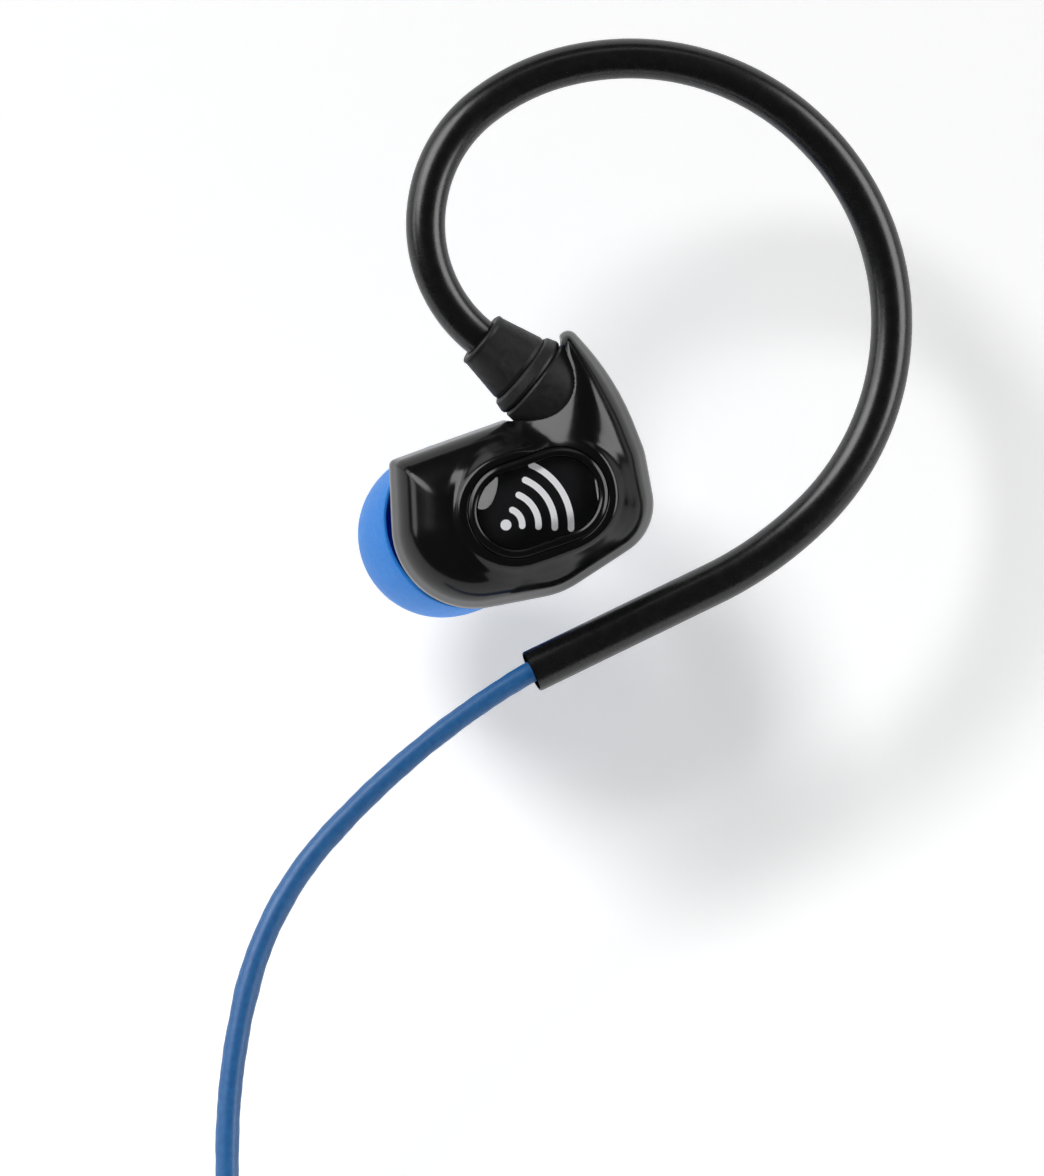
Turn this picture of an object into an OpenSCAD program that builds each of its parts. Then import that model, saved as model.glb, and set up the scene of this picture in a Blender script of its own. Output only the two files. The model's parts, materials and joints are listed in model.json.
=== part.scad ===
// Over-ear sports earphone, left side: a glossy two-shell capsule with a dynamic driver,
// a silicone ear tip, a swivelling boot, a flexible ear hook and the start of its cable.
// Millimetres. +Z is up as worn, -Y is the outer face and +Y points into the ear.
// The origin is the centre of the ear tip's widest band.

/* [Ear tip and nozzle] */
// Outside diameter of the silicone tip at its widest band
tip_d = 13.2; // [11.5:0.1:13.5]
// Thickness of the silicone skirt
tip_wall = 0.6; // [0.4:0.1:0.9]
// Turn of the nozzle axis to the left of the inward direction
nozzle_left = 24.8; // [22:0.2:27]
// Turn of the nozzle axis below the horizontal
nozzle_down = 11.1; // [8:0.1:13]
// Outside radius of the nozzle, where the tip grips it
nozzle_r = 2.65; // [2.5:0.05:2.75]

/* [Capsule] */
// Depth position of the outer face
face_y = -14.0; // [-14.6:0.1:-13.8]
// Depth position of the back face
back_y = -4.4; // [-4.6:0.1:-4.2]
// Shell wall thickness
wall = 1.0; // [0.8:0.1:1.1]
// How far the front and back faces are pulled in from the outline
face_inset = 3.2; // [2.6:0.1:3.4]

/* [Badge] */
// Distance between the centres of the oval lens's round ends
lens_span = 3.6; // [3:0.1:4]
// Radius of the oval lens's round ends
lens_r = 3.0; // [2.7:0.1:3.1]
// Width of the raised bezel round the lens
bezel_width = 0.7; // [0.4:0.1:0.8]
// Upward tilt of the badge
badge_tilt = 19; // [10:1:25]

/* [Driver] */
// Radius of the driver frame
driver_r = 4.5; // [4.4:0.05:4.6]
// Radius of the magnet
magnet_r = 1.9; // [1.7:0.05:1.95]

/* [Boot and swivel] */
// Slope of the boot axis below the horizontal
boot_slope = 38.2; // [37:0.2:39]
// Tilt of the boot axis: the hook leaves a little towards the outside
boot_tilt = 7; // [5:0.5:8]
// Radius of the raised swivel ring
ring_r = 3.3; // [3.2:0.05:3.4]
// Radius of the swivel spindle
spindle_r = 1.7; // [1.65:0.01:1.75]
// Radial running clearance of the spindle
running_gap = 0.05; // [0.03:0.01:0.08]

/* [Ear hook] */
// Lean of the hook's plane towards the head, about the boot axis
hook_lean = 4; // [0:1:8]
// Radius of the hook sleeve at the boot
hook_r = 1.5; // [1.45:0.01:1.52]
// Growth in radius from one hook segment to the next
hook_growth = 0.03; // [0:0.01:0.04]
// Radius of the hook sleeve's bore
hook_bore_r = 1.05; // [1:0.01:1.1]
// Gap between one stiff length of a flexible part and the next, for their joint
joint_gap = 0.2; // [0.18:0.01:0.3]

/* [Cable] */
// Radius of the cable inside the hook and where it leaves it
cable_r = 0.82; // [0.78:0.01:0.84]
// Radius of the cable further down
cable_low_r = 0.9; // [0.85:0.01:0.95]
// Length of the strands beyond the cut jacket
bare_length = 3; // [2:0.5:5]

/* [Hidden] */

// Smoothness
large_fn = 96;
round_fn = 48;
hull_fn = 32;
arc_fn = 180;
hole_fn = 24;
seam = 0.01;      // thickness of the guide plates that a shell is wrapped over

// Colours
shell_black = [0.07, 0.07, 0.08];
rubber_black = [0.16, 0.16, 0.17];
tip_blue = [0.20, 0.45, 0.85];
cable_blue = [0.13, 0.42, 0.68];

// Capsule outline: [x, z, radius] of the circles that it wraps.
body_circles = [[-4.6, 4.75, 0.5], [1.5, 0.1, 6.4], [5.6, 1.5, 7.0], [11.0, 1.8, 4.3], [9.4, 4.4, 5.4]];
// The horn's outer flank lies on one large circle.
flank_x = -5.6;
flank_z = 0.2;
flank_r = 20.9;
function flank_circle(angle, r) = [
    flank_x + (flank_r - r) * cos(angle), flank_z + (flank_r - r) * sin(angle), r];
horn_circles = [
    [8.55, 14.6, 0.5], flank_circle(36, 2.0), flank_circle(24, 3.6), [4.7, 7.5, 0.9], [9.4, 4.4, 5.4]];
least_r = 0.2;              // smallest radius left of a circle that is pulled in
heart = [5.5, 2.5];         // small circles move towards this point when they are pulled in
function pulled(c, inset) = let (
        short = max(inset + least_r - c[2], 0),
        way = heart - [c[0], c[1]]
    ) concat([c[0], c[1]] + way * short / norm(way), max(c[2] - inset, least_r));
parting_y = -9.0;           // the plane where the two shells meet
horn_drop = 0.7;            // the horn's outer face is lower than the body's by this much
back_horn_drop = 0.1;       // and its back face by this much
function horn_face(y_end) = y_end < parting_y ? y_end + horn_drop : y_end - back_horn_drop;
shoulder_depth = 1.3;       // depth of the rounded shoulder below each face
shoulder_share = 0.35;      // part of the inset reached at the shoulder
floor_y = face_y + 2 * wall;
roof_y = back_y - wall;

// Badge
badge_x = 6.4;
badge_z = 1.85;
bezel_r = lens_r + bezel_width;
pocket_y = face_y + 1.0;
bezel_rise = 0.15;
lens_step = 0.5;            // the crown is this much narrower than the lens
lens_crown = 0.2;
print_thickness = 0.06;
ink_thickness = 0.04;
fit_gap = 0.02;

// Seal bead between the shells
bead_gap = 0.2;             // to the inside of the wall
bead_width = 0.4;

// Driver, as depths on its own axis
driver_x = 4.5;
driver_z = 0.9;
seat_y = -7.9;
gasket_thickness = 0.2;
basket_front_y = seat_y - gasket_thickness;
basket_back_y = -9.9;
basket_wall = 0.4;
relief_place = 3.5;         // six small holes let the air out of the basket
relief_r = 0.25;
yoke_r = 2.88;
yoke_wall = 0.35;
yoke_floor = 0.4;
plate_r = magnet_r + 0.1;
plate_recess = 0.05;
coil_height = 1.15;
yoke_back_y = -11.2;
yoke_front_y = -9.4;
plate_back_y = -9.9;
coil_gap = 0.15;
cone_y = -9.05;
film = 0.1;
cover_y = -8.25;
board_thickness = 0.2;
board_length = 4.2;
board_height = 1.8;
solder_r = 0.45;
solder_x = 1.3;
chamber_r = driver_r - 0.5;
cup_wall = 0.75;
basket_room = 0.1;          // air round the basket in the front shell

// Nozzle, as distances along its axis
nozzle_end = 3.0;
nozzle_root = -5.6;
root_height = 1.5;          // the nozzle grows out of the back face as a short cone
root_r = 4.3;
neck_base_r = 3.2;
bore_reach = 1.4;           // how far the sound bore goes on below the root
hole_gap = 0.5;             // between the rings of holes in the screen
hole_r = 0.15;
screen_thickness = 0.12;
damper_start = 1.2;
sound_bore_r = 1.9;
mesh_r = 2.25;
mesh_recess = 0.3;

// Boot: distances along the boot axis, growing into the capsule from the ring's centre.
ring = [5.15, -9.3, 12.04];
ring_half = 0.52;
sleeve_start = -4.1;
sleeve_end = -0.62;
tube_start = 2.2;           // the first hook segment begins this far outside the ring
core_start = 1.0;
bush_start = 0.8;
cone_end = 4.0;
flange_start = 4.6;
bush_end = 5.3;
boss_end = 6.0;
spindle_end = 6.2;
clip_start = 5.45;
clip_end = 5.75;
groove_r = 1.35;            // bottom of the clip's groove in the spindle
clip_rim = 0.7;
clip_opening = 1.6;
bush_front_r = 3.05;
bush_play = 0.12;
ring_chamfer = 0.25;
sleeve_r = [1.95, 2.2, 2.85];   // at the lip's edge, behind the lip and at the ring
lip_length = 0.2;
oring_t = 2.5;
oring_r = 0.35;
mouth_r = 3.75;
neck_r = 2.6;
flange_r = 3.15;
end_wall_r = 2.5;
boss_r = 5.0;
core_bore_r = 1.0;
crimp_start = 6.5;
crimp_end = 7.5;
crimp_r = 1.2;
crimp_pinch = 0.15;         // depth of the groove that the crimping tool leaves
pinch_r = 0.35;
vent_x = 10.6;
vent_z = 3.2;
vent_r = 0.35;
membrane_r = 0.8;
membrane_thickness = 0.14;

// Paths. Each run is [radius, swept angle]; a radius of 0 is a straight run with its length second.
hook_runs = [
    [[0, 4.1 - tube_start], [11.1, 62]],
    [[11.1, 42], [17.4, 23], [20.2, 10]],
    [[20.2, 50]],
    [[20.2, 50]],
    [[20.2, 40.4], [28.6, 8]],
    [[28.6, 11.1], [0, 15.6]]
];
core_lead = tube_start - core_start;
cable_bends = [[4, 5], [66, 17], [27, 29], [53, 0]];
cable_drop = 8;

// One step along a path; state is [x, y, heading] and every bend turns to the right.
function advance(s, run) = run[0] == 0
    ? [s[0] + run[1] * cos(s[2]), s[1] + run[1] * sin(s[2]), s[2]]
    : [s[0] - run[0] * (sin(s[2] - run[1]) - sin(s[2])),
       s[1] + run[0] * (cos(s[2] - run[1]) - cos(s[2])), s[2] - run[1]];
function travel(s, runs, count) = count == 0 ? s : advance(travel(s, runs, count - 1), runs[count - 1]);
function finish(s, runs) = travel(s, runs, len(runs));
// A short straight gap, with a joint at its middle, lies between one stiff length and the next.
function piece_start(s, pieces, index) = index == 0
    ? s : advance(finish(piece_start(s, pieces, index - 1), pieces[index - 1]), [0, joint_gap]);

hook_first = advance([0, 0, 180 - boot_slope], [0, tube_start]);
function hook_state(index) = piece_start(hook_first, hook_runs, index);
hook_last = len(hook_runs) - 1;
hook_exit = finish(hook_state(hook_last), hook_runs[hook_last]);

// Where the tilted and leaning hook ends, and the upright plane in which the cable then falls.
tilt_axis = [sin(boot_slope), 0, cos(boot_slope)];
lean_axis = [-cos(boot_slope), 0, sin(boot_slope)];
function turned(v, k, a) = v * cos(a) + cross(k, v) * sin(a) + k * (k * v) * (1 - cos(a));
function from_hook(v) = turned(turned([v[0], 0, v[1]], lean_axis, hook_lean), tilt_axis, boot_tilt);
exit_offset = from_hook(hook_exit);
exit_way = from_hook([cos(hook_exit[2]), sin(hook_exit[2])]);
cable_turn = atan2(exit_way[1], exit_way[0]);
cable_dip = atan2(exit_way[2], norm([exit_way[0], exit_way[1]]));
// The last bend is as long as it takes to hang straight down.
last_sweep = 90 + cable_dip - cable_bends[0][1] - cable_bends[1][1] - cable_bends[2][1];
cable_runs = [
    [cable_bends[0], cable_bends[1]],
    [cable_bends[2]],
    [[cable_bends[3][0], last_sweep]],
    [[0, cable_drop]]
];
cable_first = advance([0, 0, cable_dip], [0, joint_gap]);
cable_last = len(cable_runs) - 1;
function cable_state(index) = piece_start(cable_first, cable_runs, index);

// ---- Placing --------------------------------------------------------------------------

// Stands a drawing in X and Y up in the X-Z plane, its thickness running towards -Y.
module upright() rotate([90, 0, 0]) children();

// A plate between two depths, cut from a drawing in the X-Z plane.
module plate(y_low, y_high) translate([0, y_high, 0]) upright() linear_extrude(y_high - y_low) children();

// A frame whose +Z is the nozzle axis, into the ear.
module on_nozzle() rotate([0, 0, nozzle_left]) rotate([-90 - nozzle_down, 0, 0]) children();

// A frame on the boot axis: +Z runs into the capsule and the origin is the ring's centre.
module at_ring() translate(ring) rotate(a = boot_tilt, v = tilt_axis) children();
module on_boot() at_ring() rotate([0, 90 + boot_slope, 0]) children();

// A frame on the driver's axis: +Z runs towards the ear and reads as the depth y.
module on_driver() translate([driver_x, 0, driver_z]) rotate([-90, 0, 0]) children();

// The hook's own drawing plane, with its origin at the ring's centre.
module on_hook() at_ring() rotate(a = hook_lean, v = lean_axis) upright() children();

// The cable's drawing plane: X runs outward along the ground and Y is up.
module on_cable() translate(ring + exit_offset) rotate([0, 0, cable_turn]) upright() children();

// A frame at the cut end of the cable, +Z pointing out of it.
module at_cable_end() {
    end = finish(cable_state(cable_last), cable_runs[cable_last]);
    on_cable() translate([end[0], end[1], 0]) rotate([0, 0, end[2]]) rotate([0, 90, 0]) children();
}

// A round bar or hole on a frame's +Z, from one distance to another.
module bar(r, low, high, fn = large_fn) translate([0, 0, low]) cylinder(r = r, h = high - low, $fn = fn);

// ---- Bars along a path ----------------------------------------------------------------

// A round bar or tube along one run; hole_r is the radius of its bore, or 0.
module run_bar(s, run, r, hole_r) {
    if (run[0] == 0)
        translate([s[0], s[1], 0]) rotate([0, 0, s[2]]) rotate([0, 90, 0])
            linear_extrude(run[1]) section(r, hole_r);
    else
        translate([s[0] + run[0] * sin(s[2]), s[1] - run[0] * cos(s[2]), 0]) rotate([0, 0, s[2] + 90 - run[1]])
            rotate_extrude(angle = run[1], $fn = arc_fn) translate([run[0], 0]) section(r, hole_r);
}

module section(r, hole_r) difference() {
    circle(r = r, $fn = round_fn);
    if (hole_r > 0) circle(r = hole_r, $fn = round_fn);
}

// Several runs in a row. Each later run is a hair slimmer and starts a hair inside the one
// before, so that their round surfaces never coincide.
module path_bar(s, runs, r, hole_r = 0) for (i = [0:len(runs) - 1]) {
    lap = i == 0 ? 0 : runs[i][0] == 0 ? run_lap : run_lap / runs[i][0] * 180 / PI;
    shrink = i * run_shrink;
    run_bar(advance(travel(s, runs, i), [runs[i][0], -lap]), [runs[i][0], runs[i][1] + lap],
        r - shrink, hole_r > 0 ? hole_r + shrink : 0);
}
run_lap = 0.06;
run_shrink = 0.01;

// ---- Capsule --------------------------------------------------------------------------

module wrap(circles, inset) hull() for (whole = circles) let (c = pulled(whole, inset))
    translate([c[0], c[1]]) circle(r = c[2], $fn = hull_fn);

// One side of a lobe of the capsule, from the parting plane to the depth y_end.
module lobe(circles, y_end, inset, end_inset) {
    shoulder_y = y_end < parting_y ? y_end + shoulder_depth : y_end - shoulder_depth;
    steps = [[parting_y, 0], [shoulder_y, shoulder_share * end_inset], [y_end, end_inset]];
    hull() for (step = steps, whole = circles) let (c = pulled(whole, inset + step[1]))
        translate([c[0], step[0], c[1]]) rotate([90, 0, 0])
            cylinder(r = c[2], h = seam, center = true, $fn = hull_fn);
}

module solid_half(y_end) {
    lobe(body_circles, y_end, 0, face_inset);
    lobe(horn_circles, horn_face(y_end), 0, face_inset);
}

module hollow_half(y_end) {
    lobe(body_circles, y_end, wall, face_inset - wall);
    lobe(horn_circles, horn_face(y_end), wall, face_inset - wall);
}

module front_side() translate([-20, parting_y - 40, -20]) cube([60, 40, 60]);
module back_side() translate([-20, parting_y, -20]) cube([60, 40, 60]);

// The block round the boot's bush, and the space for the bush, its flange and the clip.
module socket_boss() on_boot() bar(boss_r, 0, boss_end);
module socket_space() on_boot() {
    bar(mouth_r, -boss_end, cone_end + 2 * fit_gap);
    bar(neck_r, cone_end, flange_start + seam);
    bar(flange_r, flange_start, bush_end);
    bar(end_wall_r, bush_end - seam, boss_end + 1);
}

module oval(span, r, y_low, y_high) translate([badge_x, 0, badge_z]) rotate([0, -badge_tilt, 0])
    plate(y_low, y_high) oval_drawing(span, r);
module oval_drawing(span, r) {
    square([span, 2 * r], center = true);
    for (side = [-1, 1]) translate([side * span / 2, 0]) circle(r = r, $fn = large_fn);
}

module front_shell() color(shell_black) difference() {
    intersection() {
        solid_half(face_y);
        front_side();
    }
    difference() {
        hollow_half(floor_y);
        socket_boss();
    }
    socket_space();
    on_driver() bar(driver_r + basket_room, basket_back_y - basket_room, parting_y + 1);
    oval(lens_span, bezel_r, face_y - 1, pocket_y);
}

module back_shell() color(shell_black) difference() {
    union() {
        intersection() {
            solid_half(back_y);
            back_side();
        }
        nozzle_tube();
    }
    difference() {
        hollow_half(roof_y);
        socket_boss();
        on_driver() bar(driver_r + cup_wall, parting_y, back_y);
    }
    on_driver() bar(driver_r + fit_gap, parting_y - 1, seat_y);
    on_driver() bar(chamber_r, parting_y - 1, roof_y);
    nozzle_bore();
    socket_space();
    translate([vent_x, roof_y - 1, vent_z]) rotate([-90, 0, 0]) cylinder(r = vent_r, h = wall + 2, $fn = round_fn);
}

module nozzle_tube() on_nozzle() {
    translate([0, 0, nozzle_root]) cylinder(r1 = root_r, r2 = neck_base_r, h = root_height, $fn = large_fn);
    bar(nozzle_r, nozzle_root + root_height - seam, nozzle_end);
}
module nozzle_bore() on_nozzle() {
    bar(sound_bore_r, nozzle_root - bore_reach, nozzle_end + 1);
    bar(mesh_r, nozzle_end - mesh_recess, nozzle_end + 1);
}

// A bead that seals the two shells from the inside, on the parting plane.
module shell_seal() color("dimgray") difference() {
    plate(parting_y - bead_width / 2, parting_y + bead_width / 2) difference() {
        bead_outline(wall + bead_gap);
        bead_outline(wall + bead_gap + bead_width);
    }
    on_boot() bar(boss_r + 0.1, -6, boss_end + 0.2);
    on_driver() bar(driver_r + cup_wall + fit_gap, parting_y - 1, parting_y + 1);
}
module bead_outline(inset) {
    wrap(body_circles, inset);
    wrap(horn_circles, inset);
}

module vent_membrane() color("white") translate([vent_x, roof_y - membrane_thickness - seam, vent_z])
    rotate([-90, 0, 0]) cylinder(r = membrane_r, h = membrane_thickness, $fn = round_fn);

// ---- Badge ----------------------------------------------------------------------------

module badge_bezel() color([0.12, 0.12, 0.13]) difference() {
    oval(lens_span, bezel_r - fit_gap, face_y - bezel_rise, pocket_y);
    oval(lens_span, lens_r + fit_gap, pocket_y - 2, pocket_y + 1);
}

module badge_lens() color([0.03, 0.03, 0.05]) {
    oval(lens_span, lens_r, face_y, pocket_y - print_thickness - ink_thickness);
    oval(lens_span, lens_r - lens_step, face_y - lens_crown, face_y);
}

// A black film with a plain printed mark: a dot and the sound arcs that spread from it.
module badge_print() color("silver") {
    oval(lens_span, lens_r - fit_gap, pocket_y - print_thickness, pocket_y);
    translate([badge_x, 0, badge_z]) rotate([0, -badge_tilt, 0])
        plate(pocket_y - print_thickness - ink_thickness, pocket_y - print_thickness) sound_mark();
}
mark_x = -2.9;
mark_y = -0.8;
dot_r = 0.45;
arc_gap = 1.25;
arc_width = 0.5;
arc_low = -22;
arc_high = 48;
module sound_mark() translate([mark_x, mark_y]) {
    circle(r = dot_r, $fn = round_fn);
    for (i = [1:4]) arc_band(arc_gap * i, arc_width, arc_low, arc_high);
}
module arc_band(r, width, low, high) intersection() {
    difference() {
        circle(r = r + width / 2, $fn = large_fn);
        circle(r = r - width / 2, $fn = large_fn);
    }
    polygon([[0, 0], 2 * r * [cos(low), sin(low)], 2.4 * r * [cos((low + high) / 2), sin((low + high) / 2)],
        2 * r * [cos(high), sin(high)]]);
}

// ---- Nozzle parts and ear tip ---------------------------------------------------------

// Holes in rings about a frame's Z axis: one in the middle, then six more in each ring.
module hole_rings(rings, gap, r, low, high) for (row = [0:rings], i = [0:max(6 * row - 1, 0)])
    rotate([0, 0, i * 60 / max(row, 1)]) translate([row * gap, 0, 0]) bar(r, low, high, hole_fn);

module nozzle_mesh() color("silver") on_nozzle() difference() {
    bar(mesh_r - fit_gap, nozzle_end - mesh_recess, nozzle_end - mesh_recess + screen_thickness);
    hole_rings(3, hole_gap, hole_r, nozzle_end - 1, nozzle_end + 1);
}

module nozzle_damper() color("gray") on_nozzle()
    bar(sound_bore_r - fit_gap, damper_start, nozzle_end - mesh_recess - fit_gap);

tip_base = -3.1;
tip_front = 7.0;
tip_band = 0.75;            // half the length of the straight band at the widest place
tip_rim = -1.0;
rim_slope = 0.15;
tip_fullness = 2.5;         // exponent of the dome's outline; 2 is an ellipse
stem_r = 3.35;
tip_bore_r = nozzle_r + 0.05;
module ear_tip() color(tip_blue) on_nozzle() rotate_extrude($fn = large_fn) polygon(concat(
    [[tip_bore_r, tip_base], [stem_r, tip_base]],
    dome(tip_d / 2 - tip_wall, tip_front - tip_wall, 90, 0),
    [[tip_d / 2 - tip_wall, tip_rim], [tip_d / 2 - rim_slope, tip_rim], [tip_d / 2, -tip_band]],
    dome(tip_d / 2, tip_front, 0, 90),
    [[tip_bore_r, tip_front]]
));
// Points along a quarter of a full-bodied ellipse from the band to the front of the tip.
function dome(r, front, from, to) = let (steps = 18, power = 2 / tip_fullness) [
    for (i = [0:steps]) let (a = from + (to - from) * i / steps)
        [stem_r + (r - stem_r) * pow(cos(a), power), tip_band + (front - tip_band) * pow(sin(a), power)]];

// ---- Driver ---------------------------------------------------------------------------

module driver_basket() color("gray") on_driver() difference() {
    bar(driver_r, basket_back_y, basket_front_y);
    bar(driver_r - basket_wall, basket_back_y + basket_wall, basket_front_y + 1);
    bar(yoke_r + fit_gap, basket_back_y - 1, basket_front_y);
    for (i = [0:5]) rotate([0, 0, 60 * i]) translate([relief_place, 0, 0])
        bar(relief_r, basket_back_y - 1, basket_front_y, hole_fn);
}

module driver_yoke() color("silver") on_driver() difference() {
    bar(yoke_r, yoke_back_y, yoke_front_y);
    bar(yoke_r - yoke_wall, yoke_back_y + yoke_floor, yoke_front_y + 1);
}

module driver_magnet() color("dimgray") on_driver() bar(magnet_r, yoke_back_y + yoke_floor, plate_back_y);

module driver_top_plate() color("silver") on_driver() bar(plate_r, plate_back_y, yoke_front_y - plate_recess);

module driver_voice_coil() color("peru") on_driver() difference() {
    bar(yoke_r - yoke_wall - coil_gap, cone_y - coil_height, cone_y);
    bar(plate_r + coil_gap, cone_y - 2, cone_y + 1);
}

// A flat cone with a raised dome over the coil.
dome_r = 2.4;
dome_rise = 0.5;
film_r = driver_r - 0.55;
ring_hole_r = driver_r - 0.52;
inner_r = driver_r - basket_wall - 0.01;
ring_front = 0.2;
ring_back = 0.1;
cover_hole_gap = 1.3;
cover_hole_r = 0.35;
dome_sphere = (dome_r * dome_r + dome_rise * dome_rise) / (2 * dome_rise);
module driver_diaphragm() color("lightgray") on_driver() rotate_extrude($fn = large_fn) polygon(concat(
    [[film_r, cone_y], [film_r, cone_y + film]],
    cap_line(cone_y + film), reversed(cap_line(cone_y))
));
function cap_line(base) = [for (i = [0:10]) let (r = dome_r * (1 - i / 10))
    [r, base + dome_rise - dome_sphere + sqrt(dome_sphere * dome_sphere - r * r)]];
function reversed(points) = [for (i = [len(points) - 1:-1:0]) points[i]];

module diaphragm_ring() color("goldenrod") on_driver() difference() {
    bar(inner_r, cone_y - ring_back, cone_y + ring_front);
    bar(ring_hole_r, cone_y - 1, cone_y + 1);
}

module driver_cover() color("silver") on_driver() difference() {
    bar(inner_r, cover_y, basket_front_y);
    hole_rings(2, cover_hole_gap, cover_hole_r, cover_y - 1, cover_y + 1);
}

module driver_terminal_board() color("seagreen") translate([driver_x, yoke_back_y - board_thickness / 2, driver_z])
    cube([board_length, board_thickness, board_height], center = true);

module solder_joints() color("silver") for (side = [-1, 1])
    translate([driver_x + side * solder_x, yoke_back_y - board_thickness, driver_z]) intersection() {
        sphere(r = solder_r, $fn = round_fn);
        translate([0, -solder_r, 0]) cube(2 * solder_r, center = true);
    }

module driver_gasket() color("dimgray") on_driver() difference() {
    bar(driver_r, basket_front_y, seat_y);
    bar(chamber_r + 0.1, basket_front_y - 1, seat_y + 1);
}

// ---- Cable inside the capsule ---------------------------------------------------------

lead_r = 0.12;
lead_pitch = 0.3;           // half the distance between the two leads at the crimp
lead_turn = [11.3, -10.5, 5.6];
lead_y = -11.6;             // depth at which the leads run over the board
function boot_point(t) = ring + turned([t * cos(boot_slope), 0, -t * sin(boot_slope)], tilt_axis, boot_tilt);
module lead_wires() color("orangered") for (side = [-1, 1])
    wire([
        boot_point(crimp_end + fit_gap) + [0, side * lead_pitch, 0],
        lead_turn + [0, side * lead_pitch, 0],
        [lead_turn[0] - 1.9, lead_y, lead_turn[2] - 2 - side * lead_pitch],
        [driver_x + side * solder_x + 2 * lead_pitch, lead_y - seam, driver_z + lead_pitch - side * 0.2],
        [driver_x + side * solder_x, lead_y, driver_z]
    ]);

// A round wire through a list of points, with rounded corners.
module wire(points) {
    for (i = [0:len(points) - 2]) between(points[i], points[i + 1], lead_r);
    for (i = [1:len(points) - 2]) translate(points[i]) sphere(r = 1.2 * lead_r, $fn = hole_fn);
}
module between(a, b, r) {
    way = b - a;
    translate(a) rotate([0, acos(way[2] / norm(way)), atan2(way[1], way[0])])
        cylinder(r = r, h = norm(way), $fn = hole_fn);
}

module cable_crimp() color("silver") on_boot() difference() {
    bar(crimp_r, crimp_start, crimp_end);
    bar(cable_r + fit_gap, crimp_start - 1, crimp_end + 1);
    translate([0, 0, (crimp_start + crimp_end) / 2]) rotate_extrude($fn = large_fn)
        translate([crimp_r + pinch_r - crimp_pinch, 0]) circle(r = pinch_r, $fn = hole_fn);
}

module lead_in_cable() color(cable_blue) on_boot() bar(cable_r, -core_start + joint_gap, crimp_end);

// ---- Boot and swivel ------------------------------------------------------------------

module socket_bush() color(rubber_black) on_boot() difference() {
    union() {
        translate([0, 0, bush_start])
            cylinder(r1 = bush_front_r, r2 = mouth_r - bush_play, h = cone_end - bush_start, $fn = large_fn);
        bar(neck_r - fit_gap, cone_end - seam, bush_end - fit_gap);
        bar(flange_r - fit_gap, flange_start + fit_gap, bush_end - fit_gap);
    }
    bar(spindle_r + running_gap, bush_start - 1, bush_end + 1);
    bar(spindle_r + 2 * oring_r + fit_gap, oring_t - oring_r, oring_t + oring_r);
}

module swivel_oring() color("black") on_boot() translate([0, 0, oring_t]) rotate_extrude($fn = large_fn)
    translate([spindle_r + oring_r + seam, 0]) circle(r = oring_r - seam / 2, $fn = round_fn);

module swivel_spindle() color("gray") on_boot() difference() {
    bar(spindle_r, -tube_start, spindle_end);
    bar(core_bore_r, -tube_start - 1, spindle_end + 1);
    difference() {
        bar(spindle_r + 1, clip_start - fit_gap, clip_end + fit_gap);
        bar(groove_r, clip_start - 1, clip_end + 1);
    }
}

module retaining_clip() color("silver") on_boot() difference() {
    bar(spindle_r + clip_rim, clip_start, clip_end);
    bar(groove_r + seam, clip_start - 1, clip_end + 1);
    translate([spindle_r + clip_rim, 0, clip_start])
        cube([2 * (spindle_r + clip_rim), clip_opening, 2], center = true);
}

module swivel_ring() color(rubber_black) on_boot() rotate_extrude($fn = large_fn) polygon([
    [spindle_r + seam, -ring_half], [ring_r - ring_chamfer, -ring_half], [ring_r, ring_chamfer - ring_half],
    [ring_r, ring_half - ring_chamfer], [ring_r - ring_chamfer, ring_half], [spindle_r + seam, ring_half]]);

module boot_sleeve() color(rubber_black) on_boot() rotate_extrude($fn = large_fn) polygon([
    [hook_r + seam, sleeve_start], [sleeve_r[0], sleeve_start], [sleeve_r[1], sleeve_start + lip_length],
    [sleeve_r[2], sleeve_end], [spindle_r + seam, sleeve_end], [spindle_r + seam, -tube_start],
    [hook_r + seam, -tube_start]]);

// ---- Hook and cable -------------------------------------------------------------------

module hook_sleeve(index) color(shell_black) on_hook()
    path_bar(hook_state(index), hook_runs[index], hook_r + index * hook_growth, hook_bore_r);

// The first core starts inside the spindle, where the hook sleeve has not yet begun.
module hook_core(index) color(cable_blue) on_hook()
    if (index == 0) path_bar(advance(hook_first, [0, -core_lead]), concat(
        [[0, core_lead + hook_runs[0][0][1]]], [hook_runs[0][1]]), cable_r);
    else path_bar(hook_state(index), hook_runs[index], cable_r);

module cable_piece(index) color(cable_blue) difference() {
    on_cable() path_bar(cable_state(index), cable_runs[index], index == 0 ? cable_r : cable_low_r);
    if (index == cable_last) for (place = [-1:1]) strand(place, strand_r + fit_gap, 1);
}

// Two insulated conductors lie on either side of a fibre cord.
strand_r = 0.22;
strand_pitch = 0.52;
strand_hold = 2;
module strand(place, r, length) at_cable_end() translate([0, place * strand_pitch, 0])
    bar(r, -strand_hold, length, hole_fn);

module conductor_pair() color("peru") for (place = [-1, 1]) strand(place, strand_r, bare_length);
module fibre_cord() color("khaki") strand(0, strand_r, 0.8 * bare_length);

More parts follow.
